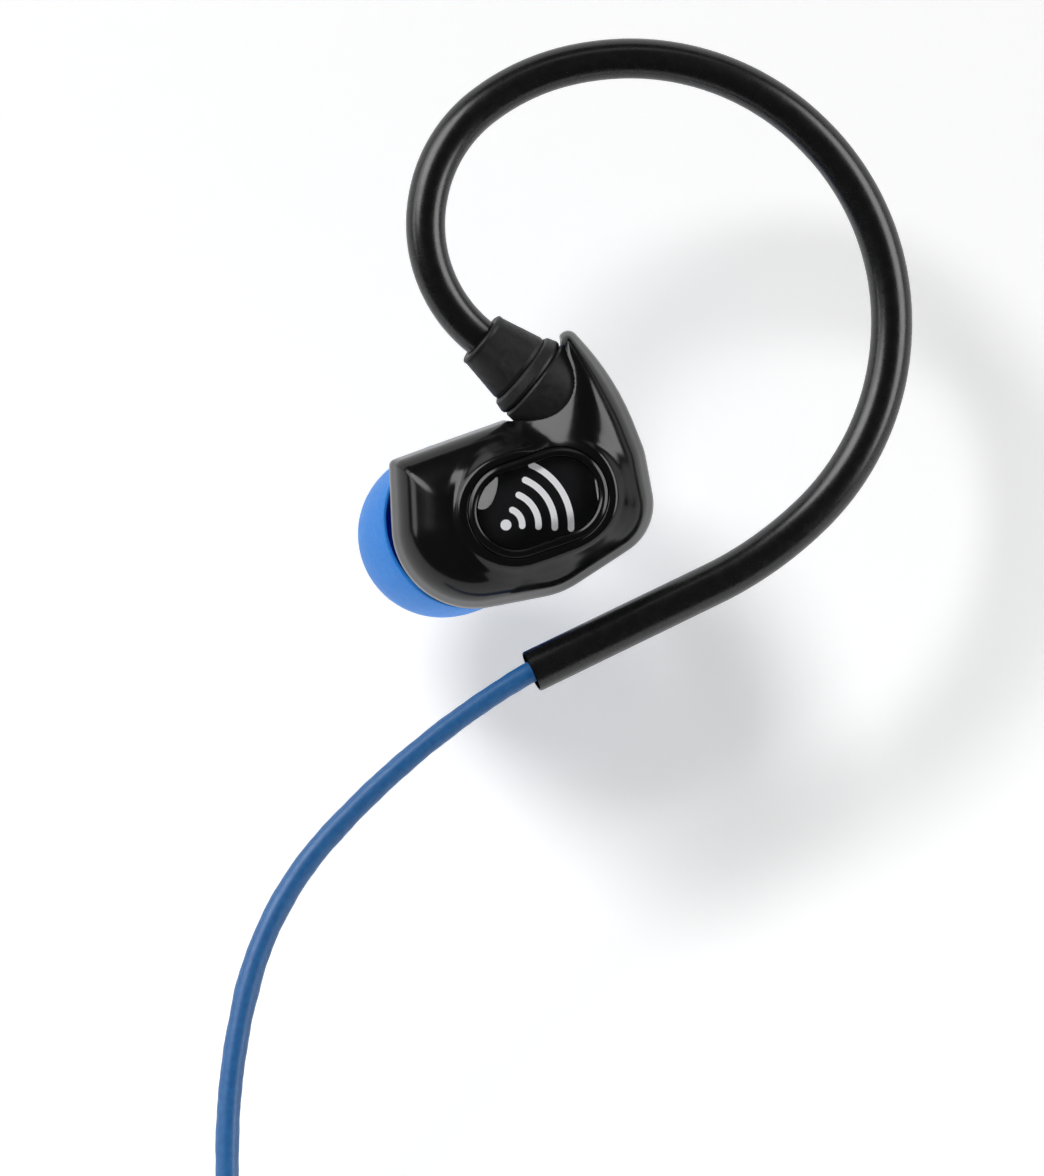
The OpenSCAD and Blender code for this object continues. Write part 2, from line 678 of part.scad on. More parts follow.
front_shell();
back_shell();
shell_seal();
badge_bezel();
badge_lens();
badge_print();
nozzle_mesh();
nozzle_damper();
ear_tip();
driver_basket();
driver_yoke();
driver_magnet();
driver_top_plate();
driver_voice_coil();
driver_diaphragm();
diaphragm_ring();
driver_cover();
driver_terminal_board();
solder_joints();
driver_gasket();
vent_membrane();
lead_wires();
cable_crimp();
lead_in_cable();
socket_bush();
swivel_oring();
swivel_spindle();
retaining_clip();
swivel_ring();
boot_sleeve();
hook_sleeve(0);  // hook_sleeve_1
hook_sleeve(1);  // hook_sleeve_2
hook_sleeve(2);  // hook_sleeve_3
hook_sleeve(3);  // hook_sleeve_4
hook_sleeve(4);  // hook_sleeve_5
hook_sleeve(5);  // hook_sleeve_6
hook_core(0);  // hook_core_1
hook_core(1);  // hook_core_2
hook_core(2);  // hook_core_3
hook_core(3);  // hook_core_4
hook_core(4);  // hook_core_5
hook_core(5);  // hook_core_6
cable_piece(0);  // cable_1
cable_piece(1);  // cable_2
cable_piece(2);  // cable_3
cable_piece(3);  // cable_4
conductor_pair();
fibre_cord();
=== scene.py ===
# Over-ear sports earphone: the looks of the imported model, in the model's own frame.
# Shapes are worked out in millimetres and handed to Blender in metres.
import json
import math

import bmesh
import bpy
import numpy as np
from mathutils import Matrix, Vector


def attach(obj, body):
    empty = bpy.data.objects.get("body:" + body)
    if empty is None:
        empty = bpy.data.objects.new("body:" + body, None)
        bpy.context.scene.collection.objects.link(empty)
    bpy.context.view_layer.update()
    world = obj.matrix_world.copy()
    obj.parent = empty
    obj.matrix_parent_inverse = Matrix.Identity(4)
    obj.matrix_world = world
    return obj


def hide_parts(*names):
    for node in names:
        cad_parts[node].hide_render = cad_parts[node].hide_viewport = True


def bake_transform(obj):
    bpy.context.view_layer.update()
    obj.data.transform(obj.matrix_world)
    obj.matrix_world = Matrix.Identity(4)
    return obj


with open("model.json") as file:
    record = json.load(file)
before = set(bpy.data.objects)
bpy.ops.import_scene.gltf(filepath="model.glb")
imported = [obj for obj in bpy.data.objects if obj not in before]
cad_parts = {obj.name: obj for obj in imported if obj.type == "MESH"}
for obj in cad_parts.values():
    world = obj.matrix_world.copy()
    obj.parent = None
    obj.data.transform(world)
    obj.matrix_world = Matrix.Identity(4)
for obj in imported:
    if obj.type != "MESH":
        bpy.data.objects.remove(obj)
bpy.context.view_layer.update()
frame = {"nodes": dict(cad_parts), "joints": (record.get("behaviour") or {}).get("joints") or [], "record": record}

MM = 0.001
JOINTS = {joint["name"]: joint for joint in frame["joints"]}
SLOT_OF = {part["node"]: part["material_slot"] for part in frame["record"]["subparts"]}


# ---- Small vector helpers ----

def unit(v):
    v = np.asarray(v, float)
    return v / np.linalg.norm(v)


def joint_place(name):
    """A joint's position in millimetres and its axis."""
    joint = JOINTS[name]
    place = np.array(joint.get("pos_m") or (0, 0, 0), float) / MM
    return place, unit(joint["axis"])


def turn(v, axis, angle):
    """v turned about axis by an angle in radians."""
    v = np.asarray(v, float)
    return (v * math.cos(angle) + np.cross(axis, v) * math.sin(angle)
            + axis * np.dot(axis, v) * (1 - math.cos(angle)))


def smoothstep(low, high, x):
    t = np.clip((x - low) / (high - low), 0, 1)
    return t * t * (3 - 2 * t)


def smooth_max(a, b, k):
    """The larger of two fields, with the edge between them rounded over about k."""
    h = np.clip(k - np.abs(a - b), 0, None) / k
    return np.maximum(a, b) + h * h * k / 4


def smooth_min(a, b, k):
    return -smooth_max(-a, -b, k)


def frame_matrix(origin_mm, z_axis, x_hint=(1, 0, 0)):
    """A 4x4 placing matrix in metres: local +Z runs along z_axis."""
    z = Vector(unit(z_axis))
    x = Vector(x_hint)
    x = (x - z * x.dot(z)).normalized()
    y = z.cross(x)
    place = Matrix((x, y, z)).transposed().to_4x4()
    place.translation = Vector(origin_mm) * MM
    return place


# ---- Mesh helpers ----

def looks_inwards(mesh):
    """Whether the faces of a closed mesh point to its inside."""
    solid = bmesh.new()
    solid.from_mesh(mesh)
    volume = solid.calc_volume(signed=True)
    solid.free()
    return volume < 0


def add_mesh(name, points_mm, faces, material, sharp_angle=None):
    """A new smooth-shaded object from points in millimetres, its faces turned outwards."""
    mesh = bpy.data.meshes.new(name)
    mesh.from_pydata((np.asarray(points_mm) * MM).tolist(), [], [list(map(int, f)) for f in faces])
    mesh.materials.append(material)
    mesh.polygons.foreach_set("use_smooth", [True] * len(mesh.polygons))
    if looks_inwards(mesh):
        mesh.flip_normals()
    if sharp_angle is not None:
        mesh.set_sharp_from_angle(angle=math.radians(sharp_angle))
    mesh.update()
    piece = bpy.data.objects.new(name, mesh)
    bpy.context.scene.collection.objects.link(piece)
    return piece


def grid_faces(rows, around, first=0, closed=False):
    """Quads between closed rings of points that follow each other, starting at point first.
    With closed, the last ring is joined to the first."""
    faces = []
    for i in range(rows if closed else rows - 1):
        here = first + i * around
        there = first + (i + 1) % rows * around
        for j in range(around):
            k = (j + 1) % around
            faces.append((here + j, here + k, there + k, there + j))
    return faces


def end_faces(rows, around, first=0):
    """The faces that close the first and the last ring of a grid."""
    last = first + (rows - 1) * around
    return [tuple(first + j for j in reversed(range(around))), tuple(last + j for j in range(around))]


def weigh_normals(piece):
    """Flat stretches keep flat shading beside their rounded edges."""
    modifier = piece.modifiers.new("weighted", "WEIGHTED_NORMAL")
    modifier.keep_sharp = True
    return piece


def fillet(corners, steps=6):
    """A closed outline from [x, y, radius] corners, each rounded by its radius."""
    count = len(corners)
    outline = []
    for i, (x, y, radius) in enumerate(corners):
        here = np.array((x, y))
        if radius <= 0:
            outline.append(here)
            continue
        back = unit(np.array(corners[i - 1][:2]) - here)
        ahead = unit(np.array(corners[(i + 1) % count][:2]) - here)
        half = math.acos(np.clip(np.dot(back, ahead), -1, 1)) / 2
        reach = radius / math.tan(half)
        centre = here + unit(back + ahead) * radius / math.sin(half)
        first = here + back * reach - centre
        last = here + ahead * reach - centre
        for step in range(steps + 1):
            way = unit(first * (1 - step / steps) + last * (step / steps))
            outline.append(centre + way * radius)
    return outline


def revolve(name, outline, place, material, segments=96, sharp_angle=35):
    """A closed outline of (radius, height) points turned about the local Z axis of place."""
    angles = np.linspace(0, 2 * math.pi, segments, endpoint=False)
    points = np.array([(r * math.cos(a), r * math.sin(a), h) for r, h in outline for a in angles])
    matrix = np.array(place)
    points = points @ matrix[:3, :3].T + matrix[:3, 3] / MM
    faces = grid_faces(len(outline), segments, closed=True)
    return weigh_normals(add_mesh(name, points, faces, material, sharp_angle))


# ---- Materials ----

class Shader:
    """A principled material with short calls for procedural detail."""

    def __init__(self, name, colour, roughness, metallic=0.0):
        self.material = bpy.data.materials.new(name)
        self.material.use_nodes = True
        self.tree = self.material.node_tree
        self.bsdf = self.tree.nodes["Principled BSDF"]
        self.colour = colour
        self.height = None
        self.set(Base_Color=(*colour, 1), Roughness=roughness, Metallic=metallic)

    def node(self, kind, **values):
        """A new node; each value is an input or, where there is none of that name, a setting."""
        made = self.tree.nodes.new(kind)
        for key, value in values.items():
            if key in made.inputs:
                made.inputs[key].default_value = value
            else:
                setattr(made, key, value)
        return made

    def link(self, source, target):
        self.tree.links.new(source, target)

    def set(self, **values):
        """Sets inputs of the principled shader; their names have _ for a space."""
        for key, value in values.items():
            self.bsdf.inputs[key.replace("_", " ")].default_value = value
        return self

    def noise(self, size_mm, detail=3.0, stretch=(1, 1, 1)):
        """A noise field whose grains are about size_mm across."""
        where = self.node("ShaderNodeTexCoord")
        mapping = self.node("ShaderNodeMapping", Scale=stretch)
        field = self.node("ShaderNodeTexNoise", Scale=1 / (size_mm * MM), Detail=detail)
        self.link(where.outputs["Object"], mapping.inputs["Vector"])
        self.link(mapping.outputs["Vector"], field.inputs["Vector"])
        return field.outputs["Fac"]

    def spread(self, field, low, high):
        """Maps the middle of a noise field, 0.3 to 0.7, to a range of values."""
        ends = {"From Min": 0.3, "From Max": 0.7, "To Min": low, "To Max": high}
        span = self.node("ShaderNodeMapRange", **ends)
        self.link(field, span.inputs["Value"])
        return span.outputs["Result"]

    def mottle(self, field, lightest):
        """Varies the colour from its base towards a lighter colour."""
        mix = self.node("ShaderNodeMix", data_type="RGBA")
        mix.inputs["A"].default_value = (*self.colour, 1)
        mix.inputs["B"].default_value = (*lightest, 1)
        self.link(self.spread(field, 0, 1), mix.inputs["Factor"])
        self.link(mix.outputs["Result"], self.bsdf.inputs["Base Color"])
        return self

    def vary_roughness(self, field, low, high):
        self.link(self.spread(field, low, high), self.bsdf.inputs["Roughness"])
        return self

    def bump(self, field, depth_mm, strength=1.0):
        """Adds relief; several calls stack."""
        made = self.node("ShaderNodeBump", Strength=strength, Distance=depth_mm * MM)
        self.link(field, made.inputs["Height"])
        if self.height is not None:
            self.link(self.height, made.inputs["Normal"])
        self.height = made.outputs["Normal"]
        self.link(self.height, self.bsdf.inputs["Normal"])
        return self

    def mix_surface(self, factor, first, second):
        """Shows the first shader where factor is 0 and the second where it is 1."""
        mix = self.node("ShaderNodeMixShader")
        self.link(factor, mix.inputs["Fac"])
        self.link(first, mix.inputs[1])
        self.link(second, mix.inputs[2])
        self.link(mix.outputs["Shader"], self.tree.nodes["Material Output"].inputs["Surface"])
        return self


def polished_shell():
    s = Shader("polished_shell", (0.0055, 0.0055, 0.006), 0.11)
    s.vary_roughness(s.noise(2.5), 0.13, 0.19)
    s.bump(s.noise(0.06, 3), 0.0006, 0.3)
    return s.set(Specular_IOR_Level=0.32).material


def hook_skin():
    s = Shader("hook_skin", (0.0055, 0.0055, 0.006), 0.25)
    s.vary_roughness(s.noise(0.8), 0.24, 0.3)
    s.bump(s.noise(0.08, 4), 0.0012, 0.35)
    return s.material


def moulded_rubber():
    s = Shader("moulded_rubber", (0.007, 0.007, 0.0072), 0.5)
    s.mottle(s.noise(0.9), (0.012, 0.012, 0.0125))
    s.vary_roughness(s.noise(0.5), 0.42, 0.6)
    s.bump(s.noise(0.09, 3), 0.02, 0.6)
    return s.set(Specular_IOR_Level=0.35).material


def tip_silicone():
    s = Shader("tip_silicone", (0.02, 0.24, 0.8), 0.45)
    s.mottle(s.noise(0.16, 4), (0.035, 0.31, 0.92))
    s.vary_roughness(s.noise(0.5), 0.42, 0.55)
    s.bump(s.noise(0.09, 3), 0.012, 0.5)
    s.set(Subsurface_Weight=0.12, Subsurface_Scale=0.5 * MM, Subsurface_Radius=(0.2, 0.5, 1.0))
    return s.set(Specular_IOR_Level=0.3).material


def cable_jacket():
    s = Shader("cable_jacket", (0.012, 0.125, 0.37), 0.42)
    s.mottle(s.noise(0.5, 5), (0.02, 0.165, 0.44))
    s.vary_roughness(s.noise(0.4), 0.36, 0.52)
    s.bump(s.noise(0.06, 4), 0.01, 0.45)
    s.bump(s.noise(2.2, 1), 0.03, 0.2)
    return s.set(Subsurface_Weight=0.08, Subsurface_Scale=0.3 * MM).material


def metal(name, colour, roughness):
    s = Shader(name, colour, roughness, 1.0)
    s.vary_roughness(s.noise(0.4, 3, (1, 12, 1)), roughness * 0.8, roughness * 1.3)
    s.bump(s.noise(0.08, 2, (1, 20, 1)), 0.003, 0.3)
    return s.material


def grained(name, colour, lightest, roughness, grain_mm=0.15, depth_mm=0.01):
    s = Shader(name, colour, roughness)
    s.mottle(s.noise(grain_mm * 4), lightest)
    s.vary_roughness(s.noise(grain_mm * 3), roughness * 0.85, min(roughness * 1.15, 1))
    s.bump(s.noise(grain_mm, 4), depth_mm, 0.5)
    return s.material


def clear_resin():
    """A dark polished dome: it mirrors at a slant and lets the print below show through."""
    s = Shader("clear_resin", (0.004, 0.004, 0.006), 0.03)
    through = s.node("ShaderNodeBsdfTransparent", Color=(0.93, 0.93, 0.95, 1))
    mirror = s.node("ShaderNodeBsdfGlossy", Roughness=0.035)
    facing = s.node("ShaderNodeFresnel", IOR=1.5)
    relief = s.node("ShaderNodeBump", Strength=0.12, Distance=0.01 * MM)
    s.link(s.noise(2.5, 1), relief.inputs["Height"])
    s.link(relief.outputs["Normal"], mirror.inputs["Normal"])
    s.link(relief.outputs["Normal"], facing.inputs["Normal"])
    return s.mix_surface(facing.outputs["Fac"], through.outputs["BSDF"], mirror.outputs["BSDF"]).material


def glowing_printed_ink():
    s = Shader("glowing_printed_ink", (0.82, 0.82, 0.82), 0.5)
    s.mottle(s.noise(0.12, 4), (0.98, 0.98, 0.98))
    s.bump(s.noise(0.08, 3), 0.01, 0.4)
    # Painted light: the ink glows a little though it is no lamp, so the mark shows whiter than the lamps alone
    # make it.
    return s.set(Emission_Color=(0.85, 0.85, 0.85, 1), Emission_Strength=0.3).material


def make_materials():
    dark_foam = ((0.02, 0.02, 0.021), (0.05, 0.05, 0.05))
    return {
        "gloss_shell": polished_shell(),
        "seal": grained("seal", (0.015, 0.015, 0.015), (0.03, 0.03, 0.03), 0.7),
        "bezel": polished_shell(),
        "lens": clear_resin(),
        "print": glowing_printed_ink(),
        "mesh": metal("mesh", (0.55, 0.55, 0.56), 0.3),
        "foam": grained("foam", *dark_foam, 0.9, 0.1, 0.05),
        "tip_silicone": tip_silicone(),
        "driver_frame": grained("driver_frame", (0.03, 0.03, 0.03), (0.06, 0.06, 0.06), 0.5),
        "steel": metal("steel", (0.55, 0.55, 0.56), 0.3),
        "magnet": metal("magnet", (0.4, 0.4, 0.42), 0.2),
        "copper": metal("copper", (0.75, 0.33, 0.16), 0.25),
        "film": grained("film", (0.5, 0.5, 0.46), (0.65, 0.65, 0.6), 0.3),
        "brass_ring": metal("brass_ring", (0.72, 0.5, 0.18), 0.3),
        "board": grained("board", (0.01, 0.11, 0.04), (0.02, 0.18, 0.07), 0.35),
        "solder": metal("solder", (0.62, 0.62, 0.62), 0.25),
        "membrane": grained("membrane", (0.55, 0.55, 0.52), (0.75, 0.75, 0.72), 0.8, 0.08, 0.03),
        "cable_jacket": cable_jacket(),
        "boot_rubber": moulded_rubber(),
        "hook_elastomer": hook_skin(),
        "fibre": grained("fibre", (0.55, 0.4, 0.12), (0.8, 0.62, 0.25), 0.6, 0.05, 0.02),
    }


MATERIALS = make_materials()
BLACK_FILM = grained("black_film", (0.002, 0.002, 0.003), (0.004, 0.004, 0.005), 0.45)


def paint_frame():
    """Every carried-over CAD node takes the material of its slot."""
    for name, node in frame["nodes"].items():
        node.data.materials.clear()
        node.data.materials.append(MATERIALS[SLOT_OF[name]])


def place_piece(piece, slot_name, body, *nodes):
    """Hides the CAD nodes a piece stands in for and attaches it to its body; slot_name is not used."""
    if nodes:
        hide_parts(*nodes)
    if body:
        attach(piece, body)
    return piece


# ---- Boot axis, nozzle axis and paths ----

RING_CENTRE, BOOT_AXIS = joint_place("hook_swivel")
_, NOZZLE_AXIS = joint_place("tip_pull")
_, HOOK_NORMAL = joint_place("hook_bend_1")
_, CABLE_NORMAL = joint_place("cable_bend_1")
PARTING_Y = -9.0

BOOT_PLACE = frame_matrix(RING_CENTRE, BOOT_AXIS, (0, 1, 0))
NOZZLE_PLACE = frame_matrix((0, 0, 0), NOZZLE_AXIS, (1, 0, 0))

# Runs of each path as (radius, swept degrees); a radius of 0 is a straight run with its length.
TUBE_START = 2.2
JOINT_GAP = 0.2
HOOK_RUNS = (
    ((0, 1.9), (11.1, 62)),
    ((11.1, 42), (17.4, 23), (20.2, 10)),
    ((20.2, 50),),
    ((20.2, 50),),
    ((20.2, 40.4), (28.6, 8)),
    ((28.6, 11.1), (0, 15.6)),
)
CABLE_BENDS = ((4, 5), (66, 17), (27, 29))
LAST_BEND = 53
CABLE_DROP = 8


class Path:
    """A line of straight runs and right-hand bends in one plane, sampled finely."""

    def __init__(self, origin, way, normal, runs, step=0.25):
        self.normal = unit(normal)
        here = np.asarray(origin, float)
        way = unit(way)
        points = [here]
        ways = [way]
        for radius, amount in runs:
            length = amount if radius == 0 else radius * math.radians(amount)
            count = max(int(math.ceil(length / step)), 1)
            left = np.cross(self.normal, way)
            for i in range(1, count + 1):
                if radius == 0:
                    points.append(here + way * length * i / count)
                    ways.append(way)
                else:
                    angle = -math.radians(amount) * i / count
                    points.append(here - radius * left + radius * turn(left, self.normal, angle))
                    ways.append(turn(way, self.normal, angle))
            here = points[-1]
            way = ways[-1]
        self.points = np.array(points)
        self.ways = np.array(ways)
        steps = np.linalg.norm(np.diff(self.points, axis=0), axis=1)
        self.at = np.concatenate([[0], np.cumsum(steps)])
        self.length = self.at[-1]

    def point(self, s):
        return np.array([np.interp(s, self.at, self.points[:, i]) for i in range(3)])

    def way(self, s):
        return unit([np.interp(s, self.at, self.ways[:, i]) for i in range(3)])

    def nearest(self, place):
        return self.at[np.argmin(np.linalg.norm(self.points - place, axis=1))]

    def stations(self, low, high):
        inside = self.at[(self.at > low + 0.05) & (self.at < high - 0.05)]
        return np.concatenate([[low], inside, [high]])


def chained(pieces):
    """The runs of all pieces in one list, with the straight gap of a joint between each two."""
    runs = list(pieces[0])
    for piece in pieces[1:]:
        runs += [(0, JOINT_GAP), *piece]
    return runs


HOOK_PATH = Path(RING_CENTRE - BOOT_AXIS * TUBE_START, -BOOT_AXIS, HOOK_NORMAL, chained(HOOK_RUNS))


def cable_runs():
    """The cable's runs; its last bend is as long as it takes to hang straight down."""
    rise = math.degrees(math.asin(HOOK_PATH.ways[-1][2]))
    last = 90 + rise - sum(sweep for _, sweep in CABLE_BENDS)
    return (CABLE_BENDS[:2], CABLE_BENDS[2:], ((LAST_BEND, last),), ((0, CABLE_DROP),))


CABLE_PATH = Path(HOOK_PATH.points[-1], HOOK_PATH.ways[-1], CABLE_NORMAL,
                  [(0, JOINT_GAP)] + chained(cable_runs()))


# ---- Tubes ----

def tube(name, path, stations, radius_at, hole, material, segments, ripple=None):
    """A closed bar (hole 0) or pipe along a path, with exact round shading. Its flat ends have
    their own vertices, so that the shading of the round wall runs up to the very end."""
    angles = np.linspace(0, 2 * math.pi, segments, endpoint=False)[:, None]
    rows = len(stations)
    outer, inner, shade = [], [], []
    for s in stations:
        left = np.cross(path.normal, path.way(s))
        round_way = np.cos(angles) * left + np.sin(angles) * path.normal
        radius = radius_at(s) + (0 if ripple is None else ripple(s, angles))
        outer.append(path.point(s) + round_way * radius)
        inner.append(path.point(s) + round_way * hole)
        shade.append(round_way)
    shade = np.concatenate(shade)
    faces = grid_faces(rows, segments)
    points = outer.copy()
    corner_normals = [shade[k] for face in faces for k in face]
    if hole > 0:
        points += inner
        for face in grid_faces(rows, segments):
            faces.append([rows * segments + k for k in reversed(face)])
            corner_normals += [-shade[k] for k in reversed(face)]
    for row, facing in ((0, -1), (rows - 1, 1)):
        first = len(points) * segments
        points.append(outer[row])
        rim = [tuple(range(first, first + segments))]
        if hole > 0:
            points.append(inner[row])
            rim = grid_faces(2, segments, first)
        for face in rim:
            forward = (facing < 0) == (hole > 0)
            faces.append(face if forward else face[::-1])
            corner_normals += [path.way(stations[row]) * facing] * len(face)
    piece = add_mesh(name, np.concatenate(points), faces, material)
    piece.data.normals_split_custom_set([tuple(n) for n in corner_normals])
    return piece


HOOK_RADIUS = (1.5, 1.66)
HOOK_HOLE = 1.05
HOOK_START = 0.9
HOOK_EDGE = 0.14
ROUNDING_STEPS = np.array((1, 0.7, 0.45, 0.22, 0.08, 0))
CORE_RADIUS = 0.82
CABLE_RADIUS = (0.82, 0.91)
BEND_REACH = 4.0
CABLE_BEND_REACH = 3.2
HOOK_JOINTS = [HOOK_PATH.nearest(joint_place(f"hook_bend_{i}")[0]) for i in range(1, 6)]
CABLE_JOINTS = [CABLE_PATH.nearest(joint_place(f"cable_bend_{i}")[0]) for i in range(1, 5)]


def hook_radius(s):
    return HOOK_RADIUS[0] + (HOOK_RADIUS[1] - HOOK_RADIUS[0]) * s / HOOK_PATH.length


def cable_radius(s):
    return CABLE_RADIUS[0] + (CABLE_RADIUS[1] - CABLE_RADIUS[0]) * float(smoothstep(4, 30, s))


TUBE_LAP = 0.3
TUBE_STEP = 0.012


def lapped(path, low, high, radius_at):
    """Stations and a radius rule for a piece whose end slips just inside the next piece."""
    if high >= path.length:
        return path.stations(low, high), radius_at
    stations = np.concatenate([path.stations(low, high), [high + 0.01, high + TUBE_LAP]])
    return stations, lambda s: radius_at(s) - (TUBE_STEP if s > high + 0.005 else 0)


def seams(joints, start, end):
    """Where one visible piece ends and the next begins: halfway between two joints."""
    return [start] + [(a + b) / 2 for a, b in zip(joints, joints[1:])] + [end]


def bend_piece(piece, path, s, reach):
    """Bakes the piece's placing into its mesh. The ends of the stretch that reaches to either side of the joint at
    s are worked out but not used.
    """
    start = Vector(path.point(max(s - reach, 0))) * MM
    end = Vector(path.point(min(s + reach, path.length))) * MM
    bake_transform(piece)


def end_rounding(path, edge, radius_at):
    """A radius rule that rounds the outer edge of the cut end."""
    def rule(s):
        short = max(edge - (path.length - s), 0)
        return radius_at(s) - edge + math.sqrt(max(edge * edge - short * short, 0))
    return rule


def build_hook():
    """The sleeve and the cable inside it, in one piece of each per hook joint."""
    marks = seams(HOOK_JOINTS, HOOK_START, HOOK_PATH.length)
    for i, s in enumerate(HOOK_JOINTS, 1):
        low, high = marks[i - 1], marks[i]
        is_last = i == len(HOOK_JOINTS)
        stations, rule = lapped(HOOK_PATH, low, high, hook_radius)
        if is_last:
            stations = np.concatenate([stations[:-1], high - HOOK_EDGE * ROUNDING_STEPS])
            rule = end_rounding(HOOK_PATH, HOOK_EDGE, hook_radius)
        sleeve = tube(f"hook_tube_{i}", HOOK_PATH, stations, rule, HOOK_HOLE,
                      MATERIALS["hook_elastomer"], 64)
        stations, rule = lapped(HOOK_PATH, low, high, lambda at: CORE_RADIUS)
        core = tube(f"hook_cable_{i}", HOOK_PATH, stations, rule, 0, MATERIALS["cable_jacket"], 24)
        numbers = (i, i + 1) if is_last else (i,)
        place_piece(sleeve, "hook_elastomer", None, *[f"hook_sleeve_{k}" for k in numbers])
        place_piece(core, "cable_jacket", None, *[f"hook_core_{k}" for k in numbers])
        for piece in (sleeve, core):
            bend_piece(piece, HOOK_PATH, s, BEND_REACH)


def jacket_ripple(s, angles):
    """The slight unevenness of a soft extruded jacket, and the kink the cable was folded at."""
    kink = 0.05 * math.exp(-((s - 33.5) / 1.3) ** 2)
    wave = 0.012 * math.sin(s * 1.7) + 0.008 * math.sin(s * 4.1 + 1)
    return wave + kink * np.cos(angles) ** 2 + 0.006 * np.sin(2 * angles + s)


def build_cable():
    """The free cable, in one piece per joint."""
    marks = seams(CABLE_JOINTS, 0, CABLE_PATH.length)
    for i, s in enumerate(CABLE_JOINTS):
        stations, rule = lapped(CABLE_PATH, marks[i], marks[i + 1], cable_radius)
        piece = tube(f"cable_run_{i + 1}", CABLE_PATH, stations, rule, 0, MATERIALS["cable_jacket"],
                     48, jacket_ripple)
        place_piece(piece, "cable_jacket", None, f"cable_{i + 1}")
        bend_piece(piece, CABLE_PATH, s, CABLE_BEND_REACH)


# ---- Boot ----

# Outlines turned on the boot axis: radius, height along the axis and corner rounding.
SLEEVE_OUTLINE = ((1.53, -4.06, 0.08), (2.1, -4.08, 0.14), (2.26, -3.95, 0.1), (2.24, -3.66, 0.25),
                  (2.88, -0.5, 0.1), (2.86, -0.16, 0.08), (1.72, -0.16, 0), (1.72, -2.2, 0), (1.53, -2.2, 0))
RING_OUTLINE = ((1.72, -0.14, 0), (2.96, -0.14, 0.08), (3.2, 0.02, 0.12), (3.42, 0.72, 0.2),
                (3.36, 0.98, 0.1), (1.72, 0.98, 0))
BUSH_OUTLINE = ((1.76, 1.02, 0), (3.22, 1.02, 0.08), (3.4, 1.24, 0.12), (3.62, 3.98, 0.1), (2.58, 4.02, 0),
                (2.58, 4.62, 0), (3.12, 4.62, 0), (3.12, 5.28, 0.1), (1.76, 5.28, 0))


def build_boot():
    """The taper sleeve, the swivel ring and the bush, turned on the boot axis."""
    for name, outline, body, node in (
            ("boot_taper", SLEEVE_OUTLINE, "hook_1", "boot_sleeve"),
            ("swivel_collar", RING_OUTLINE, "hook_1", "swivel_ring"),
            ("socket_cone", BUSH_OUTLINE, "capsule", "socket_bush")):
        piece = revolve(name, fillet(outline), BOOT_PLACE, MATERIALS["boot_rubber"], 128)
        place_piece(piece, "boot_rubber", body, node)


# ---- Ear tip ----

TIP_R = 6.6
TIP_FRONT = 7.0
TIP_BAND = 0.75
TIP_FULLNESS = 2.5
TIP_BASE = -3.1
TIP_SKIN = 0.36
STEM_R = 3.35
TIP_BORE_R = 2.7


def quarter(radius, front, first, last, steps=24):
    """Points along a full-bodied quarter from the widest band (0) to the front of the tip (90)."""
    power = 2 / TIP_FULLNESS
    return [(STEM_R + (radius - STEM_R) * max(math.cos(a), 0) ** power,
             TIP_BAND + (front - TIP_BAND) * max(math.sin(a), 0) ** power)
            for a in np.radians(np.linspace(first, last, steps))]


def build_tip():
    """The umbrella: a stem, a hollow skirt with a rounded rim, and the opening at its front."""
    bore, inside = TIP_BORE_R, TIP_R - TIP_SKIN
    outline = [(bore, TIP_BASE + 0.08), (bore + 0.1, TIP_BASE)]
    outline += [(STEM_R - 0.1, TIP_BASE), (STEM_R, TIP_BASE + 0.1)]
    outline += quarter(inside, TIP_FRONT - TIP_SKIN, 84, 0)
    outline += [(inside, -0.86), (inside + 0.06, -0.96), (TIP_R - 0.12, -1.0)]
    outline += [(TIP_R - 0.05, -0.95), (TIP_R - 0.02, -0.8)]
    outline += quarter(TIP_R, TIP_FRONT, 0, 80)
    outline += [(3.05, TIP_FRONT - 0.03), (2.85, TIP_FRONT - 0.15), (bore + 0.02, TIP_FRONT - 0.4)]
    tip = revolve("tip_umbrella", outline, NOZZLE_PLACE, MATERIALS["tip_silicone"], 160, 50)
    place_piece(tip, "tip_silicone", "tip", "ear_tip")


# ---- Shells ----
# Each shell is the zero level of a field that is negative inside the plastic. Heights are
# measured from the parting plane, outwards on the front and towards the ear on the back.

# Circles as x, z and radius. A belt round each set is part of the outline.
BODY_CIRCLES = ((-4.6, 4.75, 0.5), (1.5, 0.1, 6.4), (5.6, 1.5, 7.0), (11.0, 1.8, 4.3), (9.4, 4.4, 5.4))
# Place and radius of the large arc of the horn's outer flank.
FLANK = (-5.6, 0.2, 20.9)


def flank_circle(angle, radius):
    """A circle that touches the inside of the large arc of the horn's flank."""
    x, z, reach = FLANK
    a = math.radians(angle)
    return x + (reach - radius) * math.cos(a), z + (reach - radius) * math.sin(a), radius


FLANK_ARC = tuple(flank_circle(angle, 1.6) for angle in range(8, 44, 3))
HORN_CIRCLES = ((8.7, 14.35, 0.8), *FLANK_ARC, (4.7, 7.5, 0.9), (9.4, 4.4, 5.4))
OUTLINE_CENTRE = np.array((8.0, 5.0))


def wrap_reach(circles, ways, centre):
    """How far the hull of the circles reaches from centre in each unit direction."""
    fine = np.radians(np.arange(0, 360, 0.5))
    normals = np.stack([np.cos(fine), np.sin(fine)], 1)
    support = np.max([normals @ np.array(c[:2]) + c[2] for c in circles], axis=0) - normals @ centre
    facing = normals @ ways.T
    reach = np.where(facing > 1e-3, support[:, None] / np.maximum(facing, 1e-3), np.inf)
    return reach.min(axis=0)


